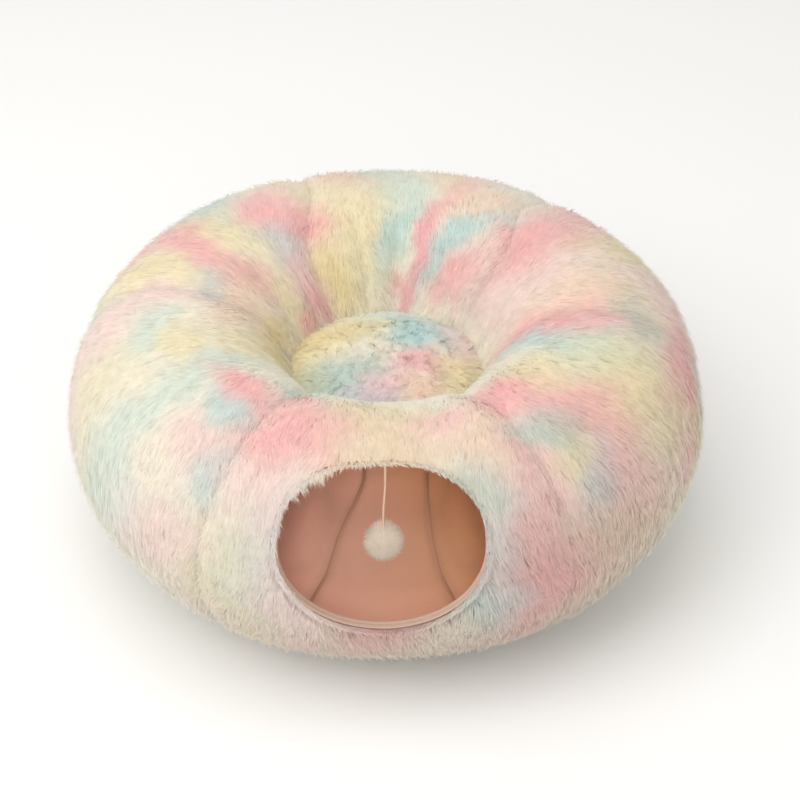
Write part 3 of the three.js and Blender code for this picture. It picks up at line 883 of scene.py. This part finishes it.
def make_floor():
    mesh = bpy.data.meshes.new("floor")
    corners = [(FLOOR_REACH * x, FLOOR_REACH * y, 0) for x, y in ((-1, -1), (1, -1), (1, 1), (-1, 1))]
    mesh.from_pydata(corners, [], [(0, 1, 2, 3)])
    floor = placed("floor", mesh)
    material = bpy.data.materials.new("floor")
    material.use_nodes = True
    tree = material.node_tree
    set_inputs(tree, tree.nodes["Principled BSDF"], {"Base Color": FLOOR_COLOUR, "Roughness": 0.9})
    mesh.materials.append(material)


def make_lamp(name, kind, place, target, power, colour):
    lamp = bpy.data.lights.new(name, kind)
    lamp.energy = power
    lamp.color = colour
    light = placed(name, lamp)
    light.location = place
    aim(light, target)
    return light


def make_lights():
    world = bpy.data.worlds.new("studio")
    world.use_nodes = True
    tree = world.node_tree
    set_inputs(tree, tree.nodes["Background"], {"Color": SKY_COLOUR, "Strength": SKY_STRENGTH})
    bpy.context.scene.world = world
    for name, place, target, size, power, colour in LAMPS:
        make_lamp(name, "AREA", place, target, power, colour).data.size = size
    bpy.context.scene.view_settings.view_transform = "Standard"


def light_tunnel(name, place, power, lit):
    """A narrow lamp that lights only these pieces through the entrance."""
    light = make_lamp(name, "SPOT", place, ENTRANCE_CENTRE, power, TUNNEL_LAMP_COLOUR)
    light.data.spot_size = TUNNEL_LAMP_WIDTH
    light.data.spot_blend = 0.6
    light.data.shadow_soft_size = 0.3
    light.light_linking.receiver_collection = bpy.data.collections.new(name)
    for piece in lit:
        light.light_linking.receiver_collection.objects.link(piece)


# The hanging toy

def hang_point():
    """Just inside the binding's underside at the top of the entrance, where the cord leaves it."""
    top = edge_point(np.array([CORD_ANGLE]), TAPE_HALF_THICKNESS + EDGE_GAP, PLUSH_THICKNESS)[0]
    return top - np.array([0, 0, TAPE_HALF_THICKNESS - CORD_SUNK])


def level_circle(angles):
    return np.stack([np.cos(angles), np.sin(angles), np.zeros(len(angles))], axis=1)


def make_cord():
    """Two twisted plies, from the binding down into the pompom."""
    start = hang_point()
    end = POMPOM_CENTRE + np.array([0, 0, 0.6 * POMPOM_CORE])
    steps = np.linspace(0, 1, CORD_STEPS)
    sway = CORD_SWAY * np.sin(2 * np.pi * steps)
    path = start + steps[:, None] * (end - start) + sway[:, None] * np.array([1.0, 0, 0])
    length = np.linalg.norm(np.diff(path, axis=0), axis=1).sum()
    twist = 2 * np.pi * steps * length / CORD_LAY
    ring = PLY_RADIUS * level_circle(once_round(PLY_SECTION, 2 * np.pi))
    plies = []
    for side in (0, math.pi):
        centres = path + (0.5 * CORD_DIAMETER - PLY_RADIUS) * level_circle(twist + side)
        plies.append(centres[:, None, :] + ring[None, :, :])
    points, faces = joined_grids(plies, False)
    material = cloth_material("cord_yarn")
    colour = linear(CORD_COLOUR)
    cord = mesh_piece("toy_cord_yarn", material, points, faces[:, ::-1], colour)
    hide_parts("toy_cord")
    return cord


def make_pompom():
    """A ball of yarn ends on a tied core."""
    random = np.random.default_rng(POMPOM_SEED)
    core = bmesh.new()
    bmesh.ops.create_icosphere(core, subdivisions=4, radius=POMPOM_CORE)
    core_mesh = bpy.data.meshes.new("core")
    core.to_mesh(core_mesh)
    core.free()
    core_points = points_of(core_mesh)
    core_faces = np.array([face.vertices[:] for face in core_mesh.polygons])
    bpy.data.meshes.remove(core_mesh)
    count = POMPOM_STRANDS
    directions = unit(random.normal(size=(count, 3)))
    sideways = unit(np.cross(directions, random.normal(size=(count, 3))))
    at_cord = 0.16 * smooth(0.75, 0.95, directions[:, 2])
    tips = directions * (POMPOM_RADIUS * (random.uniform(0.76, 1.08, count) + at_cord))[:, None]
    tips = tips + sideways * random.uniform(0.0, 0.005, count)[:, None]
    spikes, spike_faces = spike_arrays(0.8 * POMPOM_CORE * directions, tips, POMPOM_STRAND_RADIUS)
    points = POMPOM_CENTRE + np.concatenate([core_points, spikes])
    faces = np.concatenate([core_faces, spike_faces + len(core_points)])
    shades = np.repeat(random.uniform(0.86, 1.0, count), 4)
    shades = np.concatenate([np.full(len(core_points), 0.9), shades])
    colours = shades[:, None] * linear(POMPOM_COLOUR)
    normals = np.concatenate([unit(core_points), np.repeat(directions, 4, axis=0)])
    normals = unit(normals + ENTRANCE_OUTWARDS)
    material = pile_material("pompom_yarn", PILE_ROUGHNESS, POMPOM_SHEEN)
    pompom = mesh_piece("toy_pompom_yarn", material, points, faces, colours, normals)
    pompom.visible_shadow = False
    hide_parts("toy_pompom")
    return pompom


# The gores

def make_gore_cover(index, material):
    """The cloth and padding of one gore: a wall from the backing to the skin that the pile grows from."""
    node, slot = GORES[index][:2]
    shares = np.linspace(0, 1, COVER_SHARES)
    share, turn = np.meshgrid(shares, once_round(COVER_TURNS), indexing="ij")
    skin = skin_point(index, share, turn)
    backing = ring_point(gore_azimuth(index, share, turn), turn, PLUSH_THICKNESS)
    points = np.concatenate([skin, backing[::-1]])
    faces = grid_faces(len(points), COVER_TURNS, True)[:, ::-1]
    name = node.replace("plush_", "") + "_cover"
    cover = mesh_piece(name, None, points.reshape(-1, 3), faces)
    if index == 0:
        cut_entrance(cover)
    # The skin under the pile gets painted shade
    paint(cover.data, SKIN_PAINTED_SHADE * cover_dye(*ring_place(points_of(cover.data))))
    cover.data.materials.append(material)
    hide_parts(node)


def pile_roots(random, index, count):
    """Places of the roots, spread evenly over a gore and clear of the entrance and the floor."""
    shares = []
    turns = []
    places = []
    found = 0
    while found < count:
        share = random.uniform(0, 1, 2 * count)
        turn = random.uniform(FIRST_TURN, LAST_TURN, 2 * count)
        azimuth = gore_azimuth(index, share, turn)
        along_turn = ring_point(azimuth, turn + 0.5, 0.0) - ring_point(azimuth, turn - 0.5, 0.0)
        area = np.linalg.norm(along_turn, axis=1) * section_point(azimuth, turn, 0.0)[0]
        roots = skin_point(index, share, turn)
        kept = random.uniform(0, 1, 2 * count) * np.quantile(area, 0.995) < area
        kept &= entrance_share(roots) > ROOTS_FROM_ENTRANCE
        kept &= roots[:, 2] > LOWEST_ROOT
        shares.append(share[kept])
        turns.append(turn[kept])
        places.append(roots[kept])
        found += kept.sum()
    return [np.concatenate(kind)[:count] for kind in (shares, turns, places)]


def swirl(azimuth, turn):
    """How far the pile is brushed aside from straight down, in radians."""
    slow = 0.26 * sine(4 * azimuth + 2 * turn) + 0.2 * sine(9 * azimuth - 3 * turn)
    fast = 0.12 * sine(23 * azimuth + 9 * turn) + 0.08 * sine(31 * turn - 17 * azimuth)
    return slow + fast


def shorten_at_entrance(roots, flows, lengths, clump_length, random):
    """Strands hang over the entrance's edge only a little, and in wisps at its upper left."""
    wisps = upper_left(roots) * smooth(-0.6, 1.0, clump_length)
    allowed = 1 - (OVERHANG + WISP_OVERHANG * wisps) * np.sqrt(random.uniform(0, 1, len(roots)))
    shorter = lengths.copy()
    for _ in range(6):
        over = entrance_share(roots + shorter[:, None] * flows) < allowed
        shorter = np.where(over, 0.75 * shorter, shorter)
    return shorter


def strand_chart(share, turn):
    """Places of the strands on a flat map of the gore, a little apart for root, middle and tip."""
    along = np.array([0.0, 0.012, 0.012, 0.03])
    aside = np.array([0.0, -0.002, 0.002, 0.0])
    across = np.clip(0.02 + 0.96 * share[:, None] + aside, 0, 1)
    upwards = np.clip(turn[:, None] / 300 + along, 0, 1)
    return np.stack([across, upwards], axis=-1).reshape(-1, 2)


def make_gore_pile(index, material):
    """The pile of one gore, parted along the crest: combed down into the well and down outside."""
    node, slot = GORES[index][:2]
    random = np.random.default_rng(GORE_SEED + index)
    count = PILE_STRANDS
    share, turn, roots = pile_roots(random, index, count)
    along_turn, normals = skin_slope(index, share, turn)
    azimuth = gore_azimuth(index, share, turn)
    parting = PARTING_TURN + 6 * sine(5 * azimuth + 40) + 4 * sine(13 * azimuth)
    is_outside = turn + random.normal(scale=7, size=count) > parting
    downwards = along_turn * np.where(is_outside, 1, -1)[:, None]
    around = unit(np.cross(normals, downwards))

    column = np.radians(azimuth % 360) * CLUMP_RING_RADIUS / CLUMP_SIZE
    row = np.radians(turn) * CLUMP_TUBE_RADIUS / CLUMP_SIZE
    column = column + 0.45 * np.sin(0.9 * row)
    row = row + 0.45 * np.sin(1.1 * column)
    clump_aside, clump_along, chance = in_clumps(random, column, row, CLUMP_SIZE)
    clump_twist = chance[:, 2]
    clump_length = chance[:, 3]
    twist = swirl(azimuth, turn) + 0.24 * clump_twist + random.normal(scale=0.14, size=count)
    flows = np.cos(twist)[:, None] * downwards + np.sin(twist)[:, None] * around
    pull = clump_aside * around + clump_along * downwards

    from_seam = seam_distance(index, share, turn)
    trimmed = 1 - 0.35 * near(from_seam, 0.005)
    lengths = PILE_LENGTH * random.uniform(0.7, 1.15, count) * (0.9 + 0.2 * clump_length)
    stray = np.where((random.uniform(0, 1, count) < 0.06) & (turn > 100), 1.7, 1.0)
    heights = PILE_HEIGHT * random.uniform(0.75, 1.1, count) * trimmed * stray
    heights = heights * (0.45 + 0.55 * off_the_floor(azimuth, turn))
    near_cushion = smooth(40, 24, turn)
    heights = heights * (1 + near_cushion * (1.1 * random.uniform(0, 1, count) + near(from_seam, 0.012)))
    widths = PILE_WIDTH * random.uniform(NARROWEST, WIDEST, count)
    bends = 0.35 * pull + np.array([0, 0, -0.0025]) * random.uniform(0.4, 1.2, count)[:, None]
    rolls = random.normal(scale=0.18, size=count)
    shorter = shorten_at_entrance(roots, flows, lengths, clump_length, random)
    heights = heights * (shorter / lengths) ** 0.8
    strands = strand_points(roots, normals, flows, shorter, heights, widths, bends, rolls)
    strands[:, :, 2] = np.maximum(strands[:, :, 2], FLOOR_CLEARANCE)

    seen = 0.4 * strands[:, 1] + 0.6 * strands[:, 3]
    # Strands differ in tone at random, and get painted shade along the seams' creases
    brightness = random.normal(1.0, 0.024, count) * (1 - 0.1 * near(from_seam, 0.004))
    # Painted light: strands low on the well's wall by the cushion are lighter, against the shade in that
    # corner
    brightness = brightness * (1 + 0.2 * smooth(44, 16, turn))
    colours = strand_colours(cover_dye(*ring_place(seen)), brightness)
    jitter = random.normal(scale=0.05, size=(count, 3))
    name = node.replace("plush_", "") + "_pile"
    chart = strand_chart(share, turn)
    strand_piece(name, material, strands, colours, normals, flows, jitter, chart)


# The lining

def eased(rows, rounds):
    """Rows of points round the tube's section, with the crease at its floor eased by averaging."""
    for _ in range(rounds):
        rows = 0.5 * rows + 0.25 * (np.roll(rows, 1, axis=1) + np.roll(rows, -1, axis=1))
    return rows


def lining_depth(azimuth, turn):
    """Depth of the lining's inner face, which hangs a little slack in places."""
    slow = sine(5 * azimuth + 20) * sine(2 * turn + 40)
    fast = sine(11 * azimuth + 3 * turn)
    return PLUSH_THICKNESS + LINING_GAP + LINING_THICKNESS + 0.0006 * (1 + slow) + 0.0004 * (1 + fast)


def lining_seam_azimuth(seam, lean, turn):
    return seam + lean * np.maximum(cosine(turn), 0) ** 8


def lining_colours(points):
    """The lining's colour: pinker low down, more orange on the right, and painted shade where lamps meet.
    """
    azimuth, turn = ring_place(points)
    height = points[:, 2]
    right = smooth(-20, 35, azimuth)[:, None]
    low = smooth(0.16, 0.03, height)[:, None] * (0.6 - 0.4 * right)
    colours = linear(LINING_LEFT_COLOUR) * (1 - right) + linear(LINING_RIGHT_COLOUR) * right
    colours = colours * (1 - low) + linear(LINING_LOW_COLOUR) * low
    # Painted shade where the lamps meet, and painted light on the tunnel's floor, high up and far to each
    # side
    on_floor = smooth(0.04, 0.026, height) * smooth(0.15, 0.19, from_axis(points)[1])
    painted_light = np.maximum(on_floor, smooth(0.06, 0.115, height))
    painted_light = np.maximum(painted_light, smooth(24, 38, np.abs(azimuth)))
    colours = colours * (0.74 + 0.26 * painted_light)[:, None]
    # Painted shade beside each seam, for the shade of its crease
    for seam, lean in LINING_SEAMS:
        beside = apart(azimuth, lining_seam_azimuth(seam, lean, turn))
        colours = colours * (1 - 0.2 * near(beside, 2.0))[:, None]
    return colours


def make_lining():
    """A thin sewn shell inside the gores, finer where it shows through the entrance."""
    shown = np.linspace(-SHOWN_AZIMUTH, SHOWN_AZIMUTH, LINING_SHOWN, endpoint=False)
    hidden = np.linspace(SHOWN_AZIMUTH, 360 - SHOWN_AZIMUTH, LINING_HIDDEN, endpoint=False)
    azimuths = np.concatenate([shown, hidden])
    azimuth, turn = np.meshgrid(azimuths, once_round(LINING_TURNS), indexing="ij")
    outer = ring_point(azimuth, turn, PLUSH_THICKNESS + LINING_GAP)
    inner = eased(ring_point(azimuth, turn, lining_depth(azimuth, turn)), LINING_EASING)
    points, faces = joined_grids([outer[::-1], inner], True)
    lining = mesh_piece("tunnel_lining_cloth", None, points, faces)
    cut_entrance(lining)
    paint(lining.data, lining_colours(points_of(lining.data)))
    lining.data.materials.append(cloth_material("lining_cloth"))
    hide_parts("tunnel_lining")
    return lining


def make_lining_seams():
    """Stitched seam ridges between the lining's panels that show through the entrance."""
    turns = once_round(SEAM_TURNS)
    seams = []
    for seam, lean in LINING_SEAMS:
        azimuth = lining_seam_azimuth(seam, lean, turns)
        depth = lining_depth(azimuth, turns)
        radius = section_point(azimuth, turns, depth)[0]
        rows = []
        for aside, raised in SEAM_PROFILE:
            wavy = raised * (1 + 0.12 * sine(45 * turns))
            rows.append(ring_point(azimuth + np.degrees(aside / radius), turns, depth + wavy))
        seams.append(eased(np.stack(rows), SEAM_EASING))
    points, faces = joined_grids(seams, True)
    material = cloth_material("lining_seam")
    colour = linear(LINING_SEAM_COLOUR)
    return mesh_piece("tunnel_lining_seams", material, points, faces, colour)


# The entrance's edge

def make_binding():
    """Tape folded round the entrance's edge: one fold by the lining and a flatter one by the pile."""
    angles = once_round(TAPE_ANGLES, 2 * np.pi)
    inwards = towards_middle(angles)[:, None, :]
    around = once_round(TAPE_SECTION, 2 * np.pi)
    ripple = 1 + 0.035 * np.sin(55 * angles)[:, None] * np.cos(around)[None, :]
    folds = []
    for depth, half_width, half_thickness in TAPE_FOLDS:
        middle = edge_point(angles, half_thickness + EDGE_GAP, depth)[:, None, :]
        across = (half_thickness * ripple * np.cos(around))[..., None]
        along = (half_width * ripple * np.sin(around))[..., None]
        folds.append(middle - across * inwards - along * ENTRANCE_OUTWARDS)
    points, faces = joined_grids(folds, True)
    # A thin darker line along each fold of the tape
    darker_line = np.tile(1 - 0.08 * near(around - 4.2, 0.3), len(angles) * len(TAPE_FOLDS))
    colours = darker_line[:, None] * linear(TAPE_COLOUR)
    material = cloth_material("binding_tape")
    binding = mesh_piece("entrance_binding_tape", material, points, faces, colours)
    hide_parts("entrance_binding")


def wisp_strands(random):
    """Thin locks that hang into the entrance at its upper left."""
    count = WISP_STRANDS
    lock_angles = np.radians(random.uniform(WISP_FIRST, WISP_LAST, WISP_LOCKS))
    lock_lengths = random.uniform(0.008, 0.017, WISP_LOCKS)
    lock_leans = random.normal(scale=0.3, size=WISP_LOCKS)
    lock = random.integers(0, WISP_LOCKS, count)
    angles = lock_angles[lock] + random.normal(scale=0.022, size=count)
    roots = edge_point(angles, random.uniform(-0.001, 0.001, count), random.uniform(0.001, 0.009, count))
    towards = towards_middle(angles)
    flows = 0.45 * towards - 0.85 * ENTRANCE_UP + lock_leans[lock][:, None] * ENTRANCE_RIGHT
    flows = unit(flows + random.normal(scale=0.1, size=(count, 3)))
    normals = np.tile(ENTRANCE_OUTWARDS, (count, 1))
    lengths = lock_lengths[lock] * random.uniform(0.7, 1.1, count)
    heights = random.uniform(0.001, 0.004, count)
    widths = random.uniform(0.0004, 0.0006, count)
    pulls = 0.001 * np.degrees(lock_angles[lock] - angles)[:, None] * np.cross(towards, ENTRANCE_OUTWARDS)
    rolls = random.normal(scale=0.3, size=count)
    return strand_points(roots, normals, flows, lengths, heights, widths, pulls, rolls), normals, flows


def make_fringe(material):
    """The pile that hangs over the entrance's edge, with wisps at its upper left."""
    random = np.random.default_rng(FRINGE_SEED)
    count = FRINGE_STRANDS
    angles = random.uniform(0, 2 * np.pi, count)
    beside = smooth(-0.90, -0.5, np.sin(angles))
    topmost = smooth(0.80, 0.98, np.sin(angles))
    sparse = 1 - 0.6 * at_upper_left(angles)
    inwards = random.uniform(-0.0004, 0.0010 + 0.0028 * beside * (1 - 0.5 * topmost) * sparse)
    depths = 0.001 + 0.014 * random.uniform(0, 1, count) ** 1.7
    roots = edge_point(angles, inwards, depths)
    towards = towards_middle(angles)
    locks = upper_left(roots)
    ahead = unit(entrance_point(angles + 0.01) - entrance_point(angles))
    along_edge = ahead * np.tanh(np.sin(angles - FRINGE_PARTING) / 0.3)[:, None]
    flows = -0.4 * ENTRANCE_UP + 0.9 * along_edge + (0.5 * locks)[:, None] * towards
    flows = unit(flows + random.normal(scale=0.18, size=(count, 3)))
    normals = unit(ENTRANCE_OUTWARDS - 0.35 * towards + random.normal(scale=0.15, size=(count, 3)))
    lengths = random.uniform(0.006, 0.012, count) * (0.8 + 0.3 * locks) * (1 - 0.2 * topmost)
    heights = random.uniform(0.001, 0.004, count)
    widths = random.uniform(0.0005, 0.0008, count)
    rolls = random.normal(scale=0.3, size=count)
    strands = strand_points(roots, normals, flows, lengths, heights, widths, np.zeros((count, 3)), rolls)
    wisps, wisp_normals, wisp_flows = wisp_strands(random)
    strands = np.concatenate([strands, wisps])
    normals = np.concatenate([normals, wisp_normals])
    flows = np.concatenate([flows, wisp_flows])
    brightness = random.normal(1.0, 0.04, len(strands))
    colours = strand_colours(cover_dye(*ring_place(strands[:, 3])), brightness)
    jitter = random.normal(scale=0.12, size=(len(strands), 3))
    name = "entrance_fringe_pile"
    fringe = strand_piece(name, material, strands, colours, normals, flows, jitter)
    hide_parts("entrance_fringe")


# The cushion

def well_radius(azimuth, height):
    upwards = (height - (HEIGHT - RISE)) / RISE
    return RING_RADIUS - reach_in(azimuth) * np.sqrt(1 - upwards**2)


def cushion_rim(azimuth, height):
    return well_radius(azimuth, height) - CUSHION_GAP


def cushion_top(azimuth, share):
    """Height of the cushion's top at a share of its radius: a crown with hollows and tufts."""
    wave = sine(3 * azimuth + 30) + 0.7 * sine(5 * azimuth - 70)
    lump = 0.002 * wave * share * (1 - share**4)
    tuft = 0.0014 * sine(7 * azimuth + 400 * share) * np.sin(9 * share) * (1 - share**6)
    return CUSHION_EDGE_HEIGHT + CUSHION_CROWN * (1 - share**3.2) + lump + tuft


def cushion_skin(azimuth, share):
    """A point of the cloth that the cushion's pile grows from."""
    radius = share * cushion_rim(azimuth, CUSHION_EDGE_HEIGHT)
    return round_axis(azimuth, radius, cushion_top(azimuth, share) - CUSHION_PILE_HEIGHT)


def cushion_normals(points):
    def height_at(x_step, y_step):
        azimuth, radius = from_axis(points + np.array([x_step, y_step, 0]))
        return cushion_top(azimuth, np.minimum(radius / cushion_rim(azimuth, CUSHION_EDGE_HEIGHT), 1))

    step = 0.0005
    slope_x = (height_at(step, 0) - height_at(-step, 0)) / (2 * step)
    slope_y = (height_at(0, step) - height_at(0, -step)) / (2 * step)
    return unit(np.stack([-slope_x, -slope_y, np.ones(len(points))], axis=-1))


def make_cushion(material):
    """The cushion's stuffed cover: a crowned top, a side along the well's wall and a low belly."""
    azimuths = -once_round(CUSHION_AZIMUTHS)
    count = len(azimuths)
    rows = [cushion_skin(azimuths, share) for share in np.linspace(0.02, 0.98, CUSHION_TOP_ROWS)]
    edge = CUSHION_EDGE_HEIGHT - CUSHION_PILE_HEIGHT
    for height in np.linspace(edge, CUSHION_SEAT_LOWEST, CUSHION_SIDE_ROWS):
        rows.append(round_axis(azimuths, cushion_rim(azimuths, height), height))
    for share in np.linspace(0.92, 0.03, CUSHION_BELLY_ROWS):
        radius = share * cushion_rim(azimuths, CUSHION_SEAT_LOWEST)
        rows.append(round_axis(azimuths, radius, CUSHION_SEAT_LOWEST - CUSHION_BELLY * (1 - share**2)))
    points = np.concatenate(rows)
    top = np.arange(count - 1, -1, -1)[None, :]
    bottom = np.arange(len(points) - count, len(points))[None, :]
    faces = [grid_faces(len(rows), count, False), top, bottom]
    # The cushion's skin gets painted shade
    dye = CUSHION_SKIN_PAINTED_SHADE * cushion_dye(points)
    cushion = mesh_piece("well_cushion_cover", material, points, faces, dye)
    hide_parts("well_cushion")


def keep_near_wall(strands):
    """Draws points that would sink deep into the well's wall back to where its own pile hides them."""
    azimuth, radius = from_axis(strands)
    rim = well_radius(azimuth, np.maximum(strands[..., 2], CUSHION_SEAT_LOWEST)) + WALL_PILE
    strands[..., :2] *= np.minimum(1, rim / np.maximum(radius, 1e-9))[..., None]


def make_cushion_pile(material):
    """The cushion's shorter, tousled pile."""
    random = np.random.default_rng(CUSHION_SEED)
    count = CUSHION_STRANDS
    share = np.sqrt(random.uniform(0, 0.98, count))
    azimuth = random.uniform(0, 360, count)
    roots = cushion_skin(azimuth, share)
    normals = cushion_normals(roots)
    column = (roots[:, 0] + 0.2) / CUSHION_CLUMP_SIZE + 0.5 * np.sin(170 * roots[:, 1])
    row = (roots[:, 1] + 0.2) / CUSHION_CLUMP_SIZE + 0.5 * np.sin(190 * roots[:, 0])
    pull_x, pull_y, chance = in_clumps(random, column, row, CUSHION_CLUMP_SIZE)
    heading = math.pi * chance[:, 2] + random.normal(scale=0.45, size=count)
    outwards = unit(roots * np.array([1, 1, 0]))
    flows = level_circle(heading) + (2.4 * smooth(0.45, 1.0, share))[:, None] * outwards
    flows = unit(flows - (flows * normals).sum(axis=1, keepdims=True) * normals)
    lengths = random.uniform(0.0060, 0.0100, count)
    heights = random.uniform(0.0042, 0.0060, count) * (1 + 0.25 * chance[:, 3])
    heights = heights * (1 + 0.5 * smooth(0.8, 1.0, share))
    widths = 0.85 * PILE_WIDTH * random.uniform(NARROWEST, WIDEST, count)
    bends = 0.3 * np.hstack([pull_x, pull_y, np.zeros((count, 1))])
    rolls = random.normal(scale=0.25, size=count)
    strands = strand_points(roots, normals, flows, lengths, heights, widths, bends, rolls, CUSHION_ARCH)
    keep_near_wall(strands)
    brightness = random.normal(1.02, 0.045, count) * (1 + 0.04 * chance[:, 3])
    # Painted light: strands near the cushion's rim are lighter, against the shade by the well's wall
    brightness = brightness * (1 + 0.10 * smooth(0.5, 0.95, share))
    colours = strand_colours(cushion_dye(strands[:, 3]), brightness)
    jitter = random.normal(scale=0.1, size=(count, 3))
    chart = np.clip((strands.reshape(-1, 3)[:, :2] + 0.13) / 0.26, 0, 1)
    name = "well_cushion_pile"
    strand_piece(name, material, strands, colours, normals, flows, jitter, chart)


# The finished scene

make_camera()
make_floor()
make_lights()
pompom = make_pompom()
cord = make_cord()
for index, gore in enumerate(GORES):
    plush = pile_material(gore[1], PILE_ROUGHNESS, PLUSH_SHEEN)
    make_gore_cover(index, plush)
    make_gore_pile(index, plush)
lining = make_lining()
lining_seams = make_lining_seams()
toy = {"cord": cord, "pompom": pompom}
for name, place, power, toy_part in TUNNEL_LAMPS:
    light_tunnel(name, place, power, [lining, lining_seams, toy[toy_part]])
make_binding()
make_fringe(pile_material("fringe_pile", PILE_ROUGHNESS, PLUSH_SHEEN))
cushion_plush = pile_material("cushion_plush", PILE_ROUGHNESS, PLUSH_SHEEN)
make_cushion(cushion_plush)
make_cushion_pile(cushion_plush)
